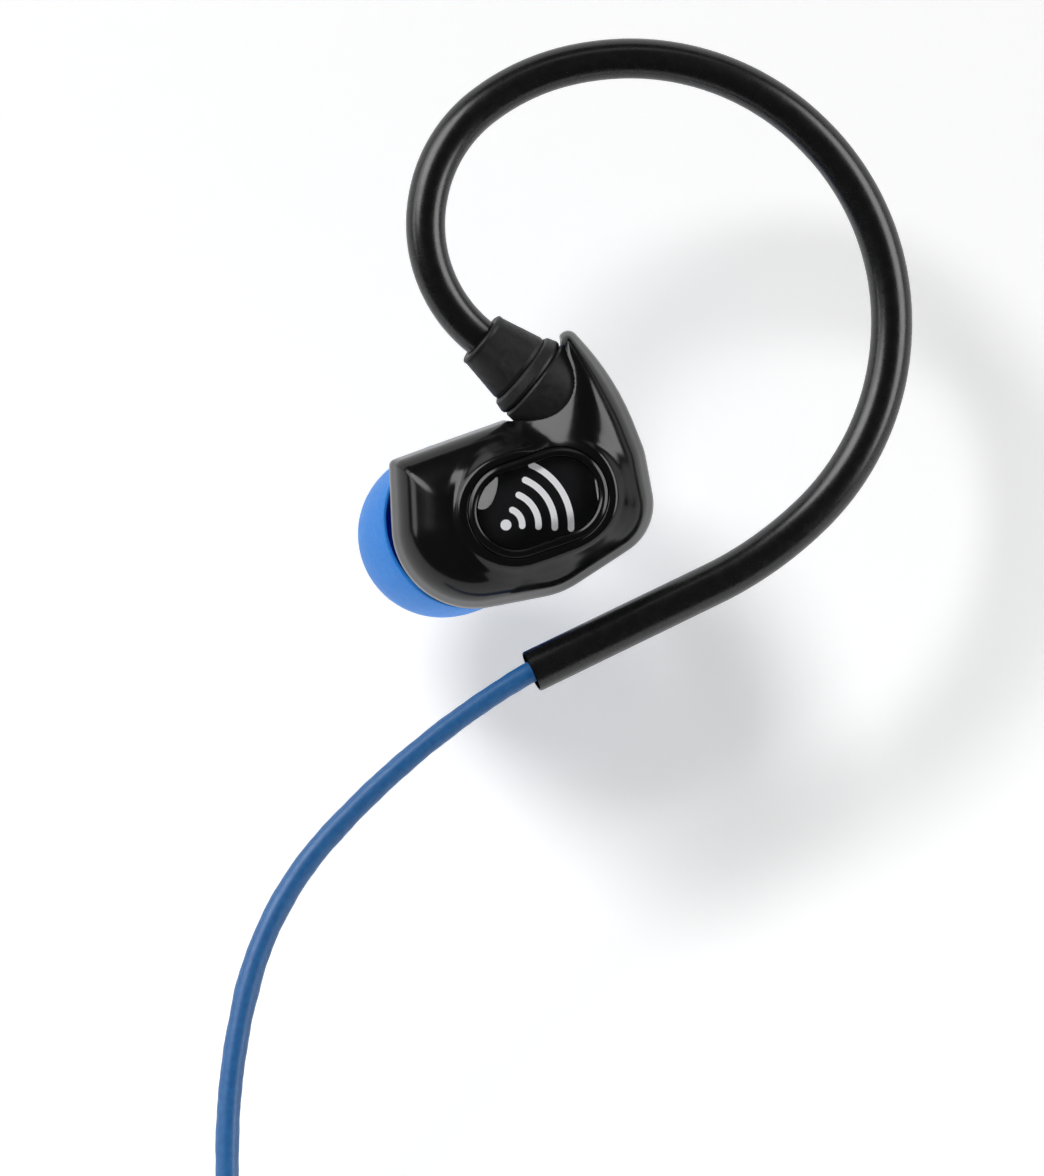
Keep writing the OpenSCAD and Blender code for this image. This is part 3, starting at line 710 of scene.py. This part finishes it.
def capsule_outline(count=900):
    """The silhouette of the capsule as a closed polygon in x and z."""
    angles = np.linspace(0, 2 * math.pi, count, endpoint=False)
    ways = np.stack([np.cos(angles), np.sin(angles)], 1)
    body = wrap_reach(BODY_CIRCLES, ways, OUTLINE_CENTRE)
    horn = wrap_reach(HORN_CIRCLES, ways, OUTLINE_CENTRE)
    return OUTLINE_CENTRE + ways * np.maximum(body, horn)[:, None]


def inside_distance(x, z, outline):
    """Distance to the outline for a grid of places, positive inside."""
    best = np.full(x.shape, np.inf)
    winding = np.zeros(x.shape)
    for (ax, az), (bx, bz) in zip(outline, np.roll(outline, -1, axis=0)):
        ex, ez = bx - ax, bz - az
        px, pz = x - ax, z - az
        t = np.clip((px * ex + pz * ez) / (ex * ex + ez * ez), 0, 1)
        best = np.minimum(best, (px - t * ex) ** 2 + (pz - t * ez) ** 2)
        side = ex * pz - ez * px
        winding += np.where((az <= z) & (bz > z) & (side > 0), 1, 0)
        winding -= np.where((az > z) & (bz <= z) & (side < 0), 1, 0)
    return np.sqrt(best) * np.where(winding != 0, 1, -1)


def blurred(values, sigma_cells):
    """A Gaussian blur of a 2-D array."""
    reach = int(math.ceil(3 * sigma_cells))
    kernel = np.exp(-0.5 * (np.arange(-reach, reach + 1) / sigma_cells) ** 2)
    kernel /= kernel.sum()
    for axis in (0, 1):
        pad = [(reach, reach) if k == axis else (0, 0) for k in (0, 1)]
        wide = np.pad(values, pad, mode="edge")
        size = values.shape[axis]
        values = sum(w * np.take(wide, np.arange(i, i + size), axis=axis) for i, w in enumerate(kernel))
    return values


CHART_STEP = 0.1
CHART_LOW = (-7.5, -9.5)
CHART_HIGH = (18.0, 17.5)
CHART_LINES = [np.arange(CHART_LOW[k], CHART_HIGH[k], CHART_STEP) for k in (0, 1)]
CHART_GRID = np.meshgrid(*CHART_LINES, indexing="ij")


class Chart:
    """A smooth function of x and z, kept on a grid and read with a cubic B-spline."""

    def __init__(self, values):
        self.values = values

    def __call__(self, x, z):
        x, z = np.broadcast_arrays(x, z)
        u = (x - CHART_LOW[0]) / CHART_STEP
        v = (z - CHART_LOW[1]) / CHART_STEP
        i = np.clip(np.floor(u).astype(int), 1, self.values.shape[0] - 3)
        j = np.clip(np.floor(v).astype(int), 1, self.values.shape[1] - 3)
        across = spline_weights(np.clip(u - i, 0, 1))
        along = spline_weights(np.clip(v - j, 0, 1))
        total = np.zeros(x.shape)
        for a in range(4):
            for b in range(4):
                total += across[a] * along[b] * self.values[i + a - 1, j + b - 1]
        return total


def spline_weights(t):
    return ((1 - t) ** 3 / 6, (3 * t ** 3 - 6 * t ** 2 + 4) / 6,
            (-3 * t ** 3 + 3 * t ** 2 + 3 * t + 1) / 6, t ** 3 / 6)


DEPTH = Chart(inside_distance(*CHART_GRID, capsule_outline()))


def crowned(edge, rise, reach, depth):
    """A height that starts at edge on the outline and levels off after reach."""
    short = 1 - np.clip(depth / reach, 0, 1)
    return edge + rise * (1 - short * short)


def axis_coordinates(origin, axis, x, y, z):
    """Distance along an axis from its origin, and distance from the axis."""
    dx, dy, dz = x - origin[0], y - origin[1], z - origin[2]
    along = dx * axis[0] + dy * axis[1] + dz * axis[2]
    return along, np.sqrt(np.maximum(dx * dx + dy * dy + dz * dz - along * along, 0))


def boot_coordinates(x, y, z):
    return axis_coordinates(RING_CENTRE, BOOT_AXIS, x, y, z)


def boot_side(x, z):
    """Distance from the boot axis as seen from the front."""
    flat = math.hypot(BOOT_AXIS[0], BOOT_AXIS[2])
    return np.abs((x - RING_CENTRE[0]) * BOOT_AXIS[2] - (z - RING_CENTRE[2]) * BOOT_AXIS[0]) / flat


def without(solid, cut, rounding=0.15):
    return smooth_max(solid, -cut, rounding)


# The badge: an oval lens with its long axis tilted up to the right.
BADGE_CENTRE = np.array((6.4, 1.85))
BADGE_TILT = math.radians(19)
LENS_HALF_SPAN = 1.8
LENS_R = 3.0
BEZEL_WIDTH = 0.7
BADGE_LEVEL = 5.0
POCKET_LEVEL = 4.0


def badge_reach(x, z):
    """Distance outside the edge of the lens."""
    dx, dz = x - BADGE_CENTRE[0], z - BADGE_CENTRE[1]
    along = dx * math.cos(BADGE_TILT) + dz * math.sin(BADGE_TILT)
    across = -dx * math.sin(BADGE_TILT) + dz * math.cos(BADGE_TILT)
    return np.hypot(np.maximum(np.abs(along) - LENS_HALF_SPAN, 0), across) - LENS_R


# Height at the outline, rise above it and the depth inside the outline where the rise ends.
FRONT_CROWN = (2.3, 2.5, 5.2)
BACK_CROWN = (2.6, 2.0, 6.0)

# Round the lens: reach of the mound's top and foot, then place and height of a bead and a groove.
MOUND_REACH = (0.8, 2.7)
BEAD = (1.3, 0.16)
GROOVE = (1.85, -0.1)

# The front falls towards the mouth that takes the boot and rises again to either side of it.
MOUTH_END = 3.9
MOUTH_SLOPE = 0.72
MOUTH_HALF_WIDTH = 2.6
MOUTH_CURVE = 0.4

WALL = 1.0
RIM_ROUNDING = 0.9
CUT_ROUNDING = 0.12
BORE_ROUNDING = 0.22
FRONT_DRAFT = 0.34
BACK_DRAFT = 0.3
DRAFT_START = 0.35
TOP_EDGE_SLOPE = math.radians(16.5)

# The bore that takes the boot's bush, along the boot axis.
SOCKET_R = 3.75
SOCKET_WALL = 0.55
SOCKET_END = 4.04
BOSS_R = 5.0
BOSS_END = 6.0
NECK_R = 2.6
FLANGE_R = 3.2
FLANGE_ROOM = (4.58, 5.3)


def ridge(reach, place, height, width=0.3):
    """A low round ridge at a place outside the lens; a groove if its height is negative."""
    return height * np.exp(-((reach - place) / width) ** 2)


def front_height(x, z):
    """Height of the outer face: crowned, with a mound for the badge and a fall to the mouth."""
    height = crowned(*FRONT_CROWN, DEPTH(x, z))
    reach = badge_reach(x, z)
    mound = 1 - smoothstep(*MOUND_REACH, reach)
    height = height * (1 - mound) + BADGE_LEVEL * mound
    height = height + ridge(reach, *BEAD) + ridge(reach, *GROOVE)
    along, _ = boot_coordinates(x, RING_CENTRE[1], z)
    axis_height = PARTING_Y - RING_CENTRE[1] - along * BOOT_AXIS[1]
    mouth = SOCKET_R + axis_height + MOUTH_SLOPE * (along - MOUTH_END)
    mouth = mouth + MOUTH_CURVE * np.maximum(boot_side(x, z) - MOUTH_HALF_WIDTH, 0) ** 2
    return smooth_min(height, mouth, 1.4)


def back_height(x, z):
    """Height of the inner face: crowned, and raised over the boot's bore."""
    height = crowned(*BACK_CROWN, DEPTH(x, z))
    along, _ = boot_coordinates(x, RING_CENTRE[1], z)
    bore = RING_CENTRE[1] - PARTING_Y + along * BOOT_AXIS[1]
    cover = np.sqrt(np.maximum((SOCKET_R + SOCKET_WALL) ** 2 - boot_side(x, z) ** 2, 0)) + bore
    cover = cover - 3 * np.maximum(along - SOCKET_END - 1, 0)
    return smooth_max(height, cover, 0.8)


def chart_of(height, sigma_mm, horn_sigma_mm):
    """A height rule sampled once and made quick to read. The horn is blurred more than the body."""
    x, z = CHART_GRID
    level = height(x, z)
    horn = smoothstep(5.5, 8.0, z) * smoothstep(2.5, 5.0, x)
    body_level = blurred(level, sigma_mm / CHART_STEP)
    horn_level = blurred(level, horn_sigma_mm / CHART_STEP)
    return Chart(body_level * (1 - horn) + horn_level * horn)


FRONT_HEIGHT = chart_of(front_height, 0.16, 0.55)
BACK_HEIGHT = chart_of(back_height, 0.16, 0.3)


def half_block(height, depth, top, inset, draft=BACK_DRAFT):
    """The crowned block of one half with drafted sides, pulled in all round by inset."""
    lean = draft * smooth_max(height - DRAFT_START, 0, 0.6)
    return smooth_max(height - top + inset, inset - depth + lean, RIM_ROUNDING)


def socket_cut(along, radius):
    """The bore for the bush: its mouth, the hole in its end wall and the room for the flange."""
    mouth = smooth_max(along - SOCKET_END, radius - SOCKET_R, 0.1)
    neck = smooth_max(along - BOSS_END - 1, radius - NECK_R, 0.1)
    flange = smooth_max(FLANGE_ROOM[0] - along, along - FLANGE_ROOM[1], 0.1)
    flange = smooth_max(flange, radius - FLANGE_R, 0.1)
    return np.minimum(np.minimum(mouth, neck), flange)


def socket_boss(along, radius):
    return smooth_max(along - BOSS_END, radius - BOSS_R, 0.2)


def front_draft(x, z):
    """The lean of the front's sides: less along the top edge than elsewhere."""
    corner_x, corner_z, corner_r = BODY_CIRCLES[0]
    from_left = x - corner_x + corner_r
    slope_x, slope_z = math.sin(TOP_EDGE_SLOPE), math.cos(TOP_EDGE_SLOPE)
    from_top = corner_r + slope_x * (x - corner_x) - slope_z * (z - corner_z)
    near_top = smoothstep(-0.2, 0.8, from_left - from_top) * smoothstep(6.0, 3.5, x)
    return FRONT_DRAFT * (1 - 0.5 * near_top)


def front_field(x, y, z):
    """The outer shell: a hollow block with the badge's pocket and the bore for the boot."""
    height = PARTING_Y - y
    depth = DEPTH(x, z)
    top = FRONT_HEIGHT(x, z)
    along, radius = boot_coordinates(x, y, z)
    draft = front_draft(x, z)
    solid = half_block(height, depth, top, 0, draft)
    hollow = half_block(height, depth, np.minimum(top, POCKET_LEVEL - 0.05), WALL, draft)
    hollow = without(hollow, socket_boss(along, radius))
    pocket = smooth_max(POCKET_LEVEL - height, badge_reach(x, z) - BEZEL_WIDTH, 0.1)
    for cut in (hollow, pocket):
        solid = without(solid, cut, CUT_ROUNDING)
    solid = without(solid, socket_cut(along, radius), BORE_ROUNDING)
    return smooth_max(solid, -height, CUT_ROUNDING)


DRIVER_PLACE = (4.5, 0.9)
DRIVER_R = 4.5
CUP_WALL = 0.75
SEAT_LEVEL = 1.1
CHAMBER_R = 4.0
ROOF_LEVEL = 3.6
NOZZLE_R = 2.65
NOZZLE_END = 3.0
NOZZLE_ROOT = -5.6
NOZZLE_FLARE = 1.65
SOUND_BORE_R = 1.9
MESH_R = 2.25
MESH_RECESS = 0.3
VENT = (10.6, 3.2, 0.35)


def back_field(x, y, z):
    """The inner shell: a hollow block with the driver's cup, the nozzle, a vent and the bore."""
    height = y - PARTING_Y
    depth = DEPTH(x, z)
    top = BACK_HEIGHT(x, z)
    solid = half_block(height, depth, top, 0)
    along, radius = axis_coordinates((0, 0, 0), NOZZLE_AXIS, x, y, z)
    flare = NOZZLE_FLARE * smoothstep(-2.2, -6.5, along)
    neck = smooth_max(radius - NOZZLE_R - flare, NOZZLE_ROOT - 1 - along, 0.2)
    neck = smooth_max(neck, along - NOZZLE_END, 0.3)
    solid = smooth_min(solid, neck, 1.4)
    boot_along, boot_radius = boot_coordinates(x, y, z)
    driver_radius = np.hypot(x - DRIVER_PLACE[0], z - DRIVER_PLACE[1])
    hollow = without(half_block(height, depth, top, WALL), socket_boss(boot_along, boot_radius))
    hollow = without(hollow, driver_radius - DRIVER_R - CUP_WALL)
    seat = smooth_max(driver_radius - DRIVER_R - 0.02, height - SEAT_LEVEL, 0.1)
    chamber = smooth_max(driver_radius - CHAMBER_R, height - ROOF_LEVEL, 0.1)
    bore = smooth_max(radius - SOUND_BORE_R, NOZZLE_ROOT - 1.4 - along, 0.1)
    mesh_room = smooth_max(radius - MESH_R, NOZZLE_END - MESH_RECESS - along, 0.1)
    for cut in (hollow, seat, chamber, bore, mesh_room):
        solid = without(solid, cut, CUT_ROUNDING)
    vent = smooth_max(np.hypot(x - VENT[0], z - VENT[1]) - VENT[2], ROOF_LEVEL - 1 - height, 0.1)
    solid = without(solid, vent, 0.2)
    solid = without(solid, socket_cut(boot_along, boot_radius), BORE_ROUNDING)
    return smooth_max(solid, -height, CUT_ROUNDING)


def beside(axis, along, rest=slice(None)):
    """An index into a grid: one slice along an axis and another along the other two."""
    index = [rest] * 3
    index[axis] = along
    return tuple(index)


def surface_net(field, low, high, step):
    """Quads round the places where the field changes sign on a grid."""
    axes = [np.arange(low[k], high[k] + step, step) for k in range(3)]
    x, y, z = np.meshgrid(*axes, indexing="ij", sparse=True)
    values = np.broadcast_to(field(x, y, z), [len(a) for a in axes])
    inside = values < 0
    shape = np.array(values.shape) - 1
    total = np.zeros((*shape, 3))
    count = np.zeros(shape)
    for axis in range(3):
        b, c = [k for k in range(3) if k != axis]
        near, far = beside(axis, slice(0, -1)), beside(axis, slice(1, None))
        crossing = inside[near] != inside[far]
        with np.errstate(divide="ignore", invalid="ignore"):
            share = np.where(crossing, values[near] / (values[near] - values[far]), 0)
        for u, v in ((0, 0), (0, 1), (1, 0), (1, 1)):
            part = [slice(0, size) for size in shape]
            part[b] = slice(u, u + shape[b])
            part[c] = slice(v, v + shape[c])
            hit = crossing[tuple(part)]
            count += hit
            total[..., axis] += share[tuple(part)]
            total[..., b] += u * hit
            total[..., c] += v * hit
    active = count > 0
    index = np.full(shape, -1, dtype=np.int64)
    index[active] = np.arange(active.sum())
    points = np.array(low) + step * (np.argwhere(active) + total[active] / count[active][:, None])
    return points, net_faces(inside, index)


def net_faces(inside, index):
    """One quad for each grid edge that crosses the surface, between the four cells round it."""
    faces = []
    for axis in range(3):
        b, c = (axis + 1) % 3, (axis + 2) % 3
        first = inside[beside(axis, slice(0, -1), slice(1, -1))]
        second = inside[beside(axis, slice(1, None), slice(1, -1))]
        for turned, mask in ((1, first & ~second), (-1, ~first & second)):
            quad = []
            for db, dc in ((0, 0), (1, 0), (1, 1), (0, 1))[::turned]:
                cell = np.argwhere(mask)
                cell[:, b] += db
                cell[:, c] += dc
                quad.append(index[tuple(cell.T)])
            faces.append(np.stack(quad, 1))
    return np.concatenate(faces)


def slope(field, points, reach=0.02):
    """The field's gradient at each point."""
    columns = []
    for k in range(3):
        shift = np.zeros(3)
        shift[k] = reach
        ahead = field(*(points + shift).T)
        behind = field(*(points - shift).T)
        columns.append((ahead - behind) / (2 * reach))
    return np.stack(columns, 1)


def carve(name, field, low, high, material, step=0.12):
    """A mesh of the field's surface, its vertices pulled onto it and its shading taken from it."""
    points, faces = surface_net(field, low, high, step)
    for _ in range(4):
        gradient = slope(field, points)
        size = np.maximum(np.sum(gradient ** 2, axis=1), 0.05)
        move = -(field(*points.T) / size)[:, None] * gradient
        length = np.linalg.norm(move, axis=1)
        points = points + move * np.minimum(1, 0.4 * step / np.maximum(length, 1e-9))[:, None]
    normals = slope(field, points)
    normals /= np.maximum(np.linalg.norm(normals, axis=1), 1e-9)[:, None]
    piece = add_mesh(name, points, faces, material)
    piece.data.normals_split_custom_set_from_vertices(normals.tolist())
    return piece


FRONT_BOX = ((-5.6, -14.6, -7.6), (15.8, -8.8, 15.6))
BACK_BOX = ((-5.6, -9.2, -7.6), (15.8, 3.6, 15.6))


def build_shells():
    for name, field, box, node in (("front_housing", front_field, FRONT_BOX, "front_shell"),
                                   ("back_housing", back_field, BACK_BOX, "back_shell")):
        piece = carve(name, field, *box, MATERIALS["gloss_shell"])
        place_piece(piece, "gloss_shell", "capsule", node)


# ---- Badge ----

def oval_line(size, steps=40):
    """Places round an oval at a distance from the segment in the middle of the lens."""
    places = []
    for end, first in ((1, -90), (-1, 90)):
        for a in np.radians(first + np.linspace(0, 180, steps)):
            places.append((end * LENS_HALF_SPAN + size * math.cos(a), size * math.sin(a)))
    return np.array(places)


def on_badge(flat, level):
    """Badge drawing coordinates to the frame, at a height above the parting plane."""
    c, s = math.cos(BADGE_TILT), math.sin(BADGE_TILT)
    flat = np.asarray(flat, float)
    level = np.broadcast_to(level, len(flat))
    return np.stack([BADGE_CENTRE[0] + flat[:, 0] * c - flat[:, 1] * s, PARTING_Y - level,
                     BADGE_CENTRE[1] + flat[:, 0] * s + flat[:, 1] * c], 1)


def oval_sweep(name, outline, material, cap=False):
    """A closed (distance, height) outline carried round the oval; cap fills the middle."""
    rows = [on_badge(oval_line(size), level) for size, level in outline]
    around = len(rows[0])
    faces = grid_faces(len(rows), around, closed=not cap)
    if cap:
        faces += end_faces(len(rows), around)
    return add_mesh(name, np.concatenate(rows), faces, material, sharp_angle=40)


def build_bezel():
    inner, outer = LENS_R + 0.02, LENS_R + BEZEL_WIDTH - 0.02
    outline = fillet([(inner, 4.02, 0), (inner, 5.04, 0.12), (inner + 0.3, 5.2, 0.25),
                      (outer, 4.98, 0.15), (outer, 4.02, 0)])
    piece = weigh_normals(oval_sweep("badge_rim", outline, MATERIALS["bezel"]))
    place_piece(piece, "bezel", "capsule", "badge_bezel")


LENS_CROWN = 0.75
LENS_EDGE_LEVEL = 4.95
LENS_UNDERSIDE = 4.05


def build_lens():
    """A domed lens: the crown falls off towards its whole edge."""
    rings = [(LENS_R - 0.02, LENS_UNDERSIDE), (LENS_R - 0.01, LENS_EDGE_LEVEL - 0.12)]
    for share in np.linspace(1, 0, 26):
        rings.append(((LENS_R - 0.03) * share, LENS_EDGE_LEVEL + LENS_CROWN * (1 - share ** 2)))
    piece = oval_sweep("badge_dome", rings, MATERIALS["lens"], cap=True)
    place_piece(piece, "lens", "capsule", "badge_lens")


FILM_LEVELS = (4.01, 4.06)
MARK_LEVELS = (4.065, 4.1)
MARK_CENTRE = np.array((-2.9, -0.8))
DOT_R = 0.42
ARC_PITCH = 1.25
ARC_WIDTH = 0.5
ARC_SPAN = np.radians((-22, 48))


def build_print():
    """A black film under the lens with a generic sound mark: a dot and four arcs."""
    film = oval_sweep("badge_film", [(LENS_R - 0.04, level) for level in FILM_LEVELS], BLACK_FILM, cap=True)
    place_piece(film, "print", "capsule", "badge_print")
    marks = [circle_line(MARK_CENTRE, DOT_R, 0, 2 * math.pi * 31 / 32, 32)]
    marks += [arc_outline(MARK_CENTRE, ARC_PITCH * i) for i in range(1, 5)]
    for i, mark in enumerate(marks):
        points = np.concatenate([on_badge(mark, level) for level in MARK_LEVELS])
        faces = grid_faces(2, len(mark)) + end_faces(2, len(mark))
        piece = add_mesh(f"sound_mark_{i}", points, faces, MATERIALS["print"], sharp_angle=40)
        place_piece(piece, "print", "capsule")


def circle_line(centre, radius, first, last, steps):
    """Points on part of a circle."""
    return [centre + radius * np.array((math.cos(a), math.sin(a))) for a in np.linspace(first, last, steps)]


def arc_outline(centre, radius):
    """An arc band with rounded ends."""
    low, high = ARC_SPAN
    half = ARC_WIDTH / 2
    high_tip, low_tip = (circle_line(centre, radius, a, a, 1)[0] for a in (high, low))
    return (circle_line(centre, radius + half, low, high, 28)
            + circle_line(high_tip, half, high, high + math.pi, 10)[1:-1]
            + circle_line(centre, radius - half, high, low, 28)
            + circle_line(low_tip, half, low + math.pi, low + 2 * math.pi, 10)[1:-1])


# ---- Cut end of the cable ----

CUT_HOLD = 0.6
STRAND_PITCH = 3.6
STRAND_LENGTH = 3.0


def build_cable_end():
    """Two twisted bundles of copper strands and the fibre cord, past the cut jacket."""
    build_strands("copper_strands", "conductor_pair", (0.34, -0.34), 7, 0.075, 0.15, STRAND_LENGTH, 0.5)
    build_strands("fibre_strands", "fibre_cord", (0.0,), 5, 0.05, 0.07, 0.8 * STRAND_LENGTH, 1.1)


def build_strands(name, node, offsets, strands, strand_r, twist_r, reach, flare):
    """Bundles at some offsets from the cable's axis: strands twisted round a straight one."""
    points, faces = [], []
    for offset in offsets:
        for k in range(strands):
            line = strand_line(offset, k / (strands - 1), twist_r if k else 0, reach, flare)
            add_wire(points, faces, line, strand_r, CABLE_PATH.normal)
    piece = add_mesh(name, points, faces, MATERIALS[SLOT_OF[node]], sharp_angle=50)
    place_piece(piece, SLOT_OF[node], "cable_4", node)


def strand_line(offset, share, twist_r, reach, flare):
    """The middle of one strand, which opens out past the cut."""
    end, down, side = CABLE_PATH.points[-1], CABLE_PATH.ways[-1], CABLE_PATH.normal
    front = np.cross(down, side)
    line = []
    for s in np.linspace(-CUT_HOLD, reach, 40):
        out = max(s, 0) / reach
        angle = 2 * math.pi * (share + s / STRAND_PITCH)
        radius = twist_r * (1 + flare * out)
        shift = offset * (1 + 0.25 * out) + radius * math.cos(angle)
        line.append(end + down * s + side * shift + front * radius * math.sin(angle))
    return np.array(line)


def add_wire(points, faces, line, radius, across, segments=10):
    """Adds a thin round wire along a line to a growing mesh."""
    base = len(points)
    ways = np.gradient(line, axis=0)
    angles = np.linspace(0, 2 * math.pi, segments, endpoint=False)
    for place, way in zip(line, ways):
        way = unit(way)
        left = unit(np.cross(across, way))
        up = np.cross(way, left)
        for a in angles:
            points.append(place + radius * (math.cos(a) * left + math.sin(a) * up))
    faces += grid_faces(len(line), segments, base) + end_faces(len(line), segments, base)


# ---- Nozzle mesh ----

SCREEN_R = MESH_R - 0.06
SCREEN_GAP = 0.3
SCREEN_WIRE_R = 0.06
SCREEN_LEVEL = NOZZLE_END - MESH_RECESS + 0.06


def build_mesh_screen():
    """A woven wire screen in a thin ring, just inside the nozzle's end."""
    place = np.array(NOZZLE_PLACE)
    points, faces = [], []
    count = math.floor(SCREEN_R / SCREEN_GAP)
    for crosswise in (False, True):
        for index, offset in enumerate(SCREEN_GAP * np.arange(-count, count + 1)):
            half = math.sqrt(max(SCREEN_R ** 2 - offset ** 2, 0))
            if half < SCREEN_GAP:
                continue
            run = np.linspace(-half, half, max(int(half * 24), 6))
            weave = 0.9 * SCREEN_WIRE_R * np.cos(np.pi * (run / SCREEN_GAP + index % 2))
            level = SCREEN_LEVEL + (weave if crosswise else -weave)
            line = np.stack([run, np.full_like(run, offset), level], 1)
            if crosswise:
                line = line[:, [1, 0, 2]]
            add_wire(points, faces, line @ place[:3, :3].T, SCREEN_WIRE_R, place[:3, 2], 6)
    screen = add_mesh("sound_screen", points, faces, MATERIALS["mesh"], sharp_angle=60)
    place_piece(screen, "mesh", "capsule", "nozzle_mesh")
    inner, outer = MESH_R - 0.25, MESH_R - 0.02
    low, high = SCREEN_LEVEL - 0.08, SCREEN_LEVEL + 0.12
    outline = fillet([(inner, low, 0.03), (outer, low, 0.03), (outer, high, 0.03), (inner, high, 0.03)])
    place_piece(revolve("screen_rim", outline, NOZZLE_PLACE, MATERIALS["mesh"]), "mesh", "capsule")


# ---- Stage, light and camera ----

WALL_Y = 22.0
WALL_TOP = 500.0
FLOOR_Z = -75.0
FLOOR_END = -45.0
PAPER_BEND = 40.0
PAPER_GLOW = 0.4
PAPER_EDGE = 700.0


def stage_paper():
    """Glowing matt paper that lets everything through when it is seen from behind."""
    s = Shader("stage_paper", (0.9, 0.9, 0.9), 0.9)
    s.set(Emission_Color=(1, 1, 1, 1), Emission_Strength=PAPER_GLOW)
    s.bump(s.noise(3.0), 0.02, 0.1)
    facing = s.node("ShaderNodeNewGeometry")
    clear = s.node("ShaderNodeBsdfTransparent")
    s.mix_surface(facing.outputs["Backfacing"], s.bsdf.outputs["BSDF"], clear.outputs["BSDF"])
    return s.material


def build_stage():
    """A pale wall close behind that rolls into a pale floor."""
    outline = [(WALL_Y, WALL_TOP)]
    outline += [(WALL_Y - PAPER_BEND * (1 - math.cos(a)), FLOOR_Z + PAPER_BEND * (1 - math.sin(a)))
                for a in np.radians(np.linspace(0, 90, 24))]
    outline += [(FLOOR_END, FLOOR_Z)]
    points = [(side, y, z) for side in (-PAPER_EDGE, PAPER_EDGE) for y, z in outline]
    count = len(outline)
    faces = [(i, i + 1, count + i + 1, count + i) for i in range(count - 1)]
    sweep = add_mesh("stage_sweep", points, faces, stage_paper())
    if sweep.data.polygons[0].normal.y > 0:
        sweep.data.flip_normals()


LIGHT_TARGET = (5, -9, 0)


def add_softbox(name, place, width, height, brightness, lights_paper=False):
    """A panel of light aimed at the earphone. One kind lights surfaces and casts the shadow;
    the other, an oval, is only mirrored in them. Brightness is the panel's own radiance."""
    lamp = bpy.data.lights.new(name, "AREA")
    lamp.shape = "RECTANGLE" if lights_paper else "ELLIPSE"
    lamp.size = width * MM
    lamp.size_y = height * MM
    lamp.energy = brightness * math.pi * lamp.size * lamp.size_y
    box = bpy.data.objects.new(name, lamp)
    bpy.context.scene.collection.objects.link(box)
    box.location = Vector(place) * MM
    way = Vector(LIGHT_TARGET) - Vector(place)
    box.rotation_euler = way.to_track_quat("-Z", "Y").to_euler()
    box.visible_diffuse = lights_paper
    box.visible_glossy = not lights_paper
    return box


def build_lights():
    add_softbox("shadow_key", (-222, -600, 352), 170, 170, 35, lights_paper=True)
    add_softbox("front_fill", (60, -500, -60), 400, 300, 0.15, lights_paper=True)
    add_softbox("upper_left_box", (-270, -265, 190), 220, 400, 5.0)
    add_softbox("left_strip", (-280, -100, 110), 130, 360, 2.4)
    add_softbox("right_strip", (275, -130, 60), 170, 380, 4.4)
    add_softbox("top_strip", (60, -170, 300), 320, 60, 0.8)


AMBIENT = 0.045
BACKDROP = 0.85


def build_world():
    """Little light from all round, but a pale backdrop where the camera looks past the paper."""
    world = bpy.data.worlds.new("studio")
    bpy.context.scene.world = world
    world.use_nodes = True
    tree = world.node_tree
    seen = tree.nodes.new("ShaderNodeLightPath")
    strength = tree.nodes.new("ShaderNodeMapRange")
    strength.inputs["To Min"].default_value = AMBIENT
    strength.inputs["To Max"].default_value = BACKDROP
    tree.links.new(seen.outputs["Is Camera Ray"], strength.inputs["Value"])
    background = tree.nodes["Background"]
    background.inputs["Color"].default_value = (1, 1, 1, 1)
    tree.links.new(strength.outputs["Result"], background.inputs["Strength"])


VIEW_CENTRE = np.array((5.15, -9.0, -4.69))
VIEW_HEIGHT = 90.5
CAMERA_DISTANCE = 1800.0
SENSOR_HEIGHT = 24


def build_camera():
    """A camera straight in front and far off, so that it sees next to no perspective."""
    data = bpy.data.cameras.new("photo_camera")
    data.sensor_fit = "VERTICAL"
    data.sensor_height = SENSOR_HEIGHT
    data.lens = SENSOR_HEIGHT * CAMERA_DISTANCE / VIEW_HEIGHT
    data.clip_start = 0.01
    data.clip_end = 20
    camera = bpy.data.objects.new("photo_camera", data)
    bpy.context.scene.collection.objects.link(camera)
    camera.location = Vector(VIEW_CENTRE - np.array((0, CAMERA_DISTANCE, 0))) * MM
    camera.rotation_euler = (math.pi / 2, 0, 0)
    bpy.context.scene.camera = camera
    bpy.context.scene.view_settings.view_transform = "Standard"


paint_frame()
build_shells()
build_bezel()
build_lens()
build_print()
build_mesh_screen()
build_tip()
build_boot()
build_hook()
build_cable()
build_cable_end()
build_stage()
build_lights()
build_world()
build_camera()
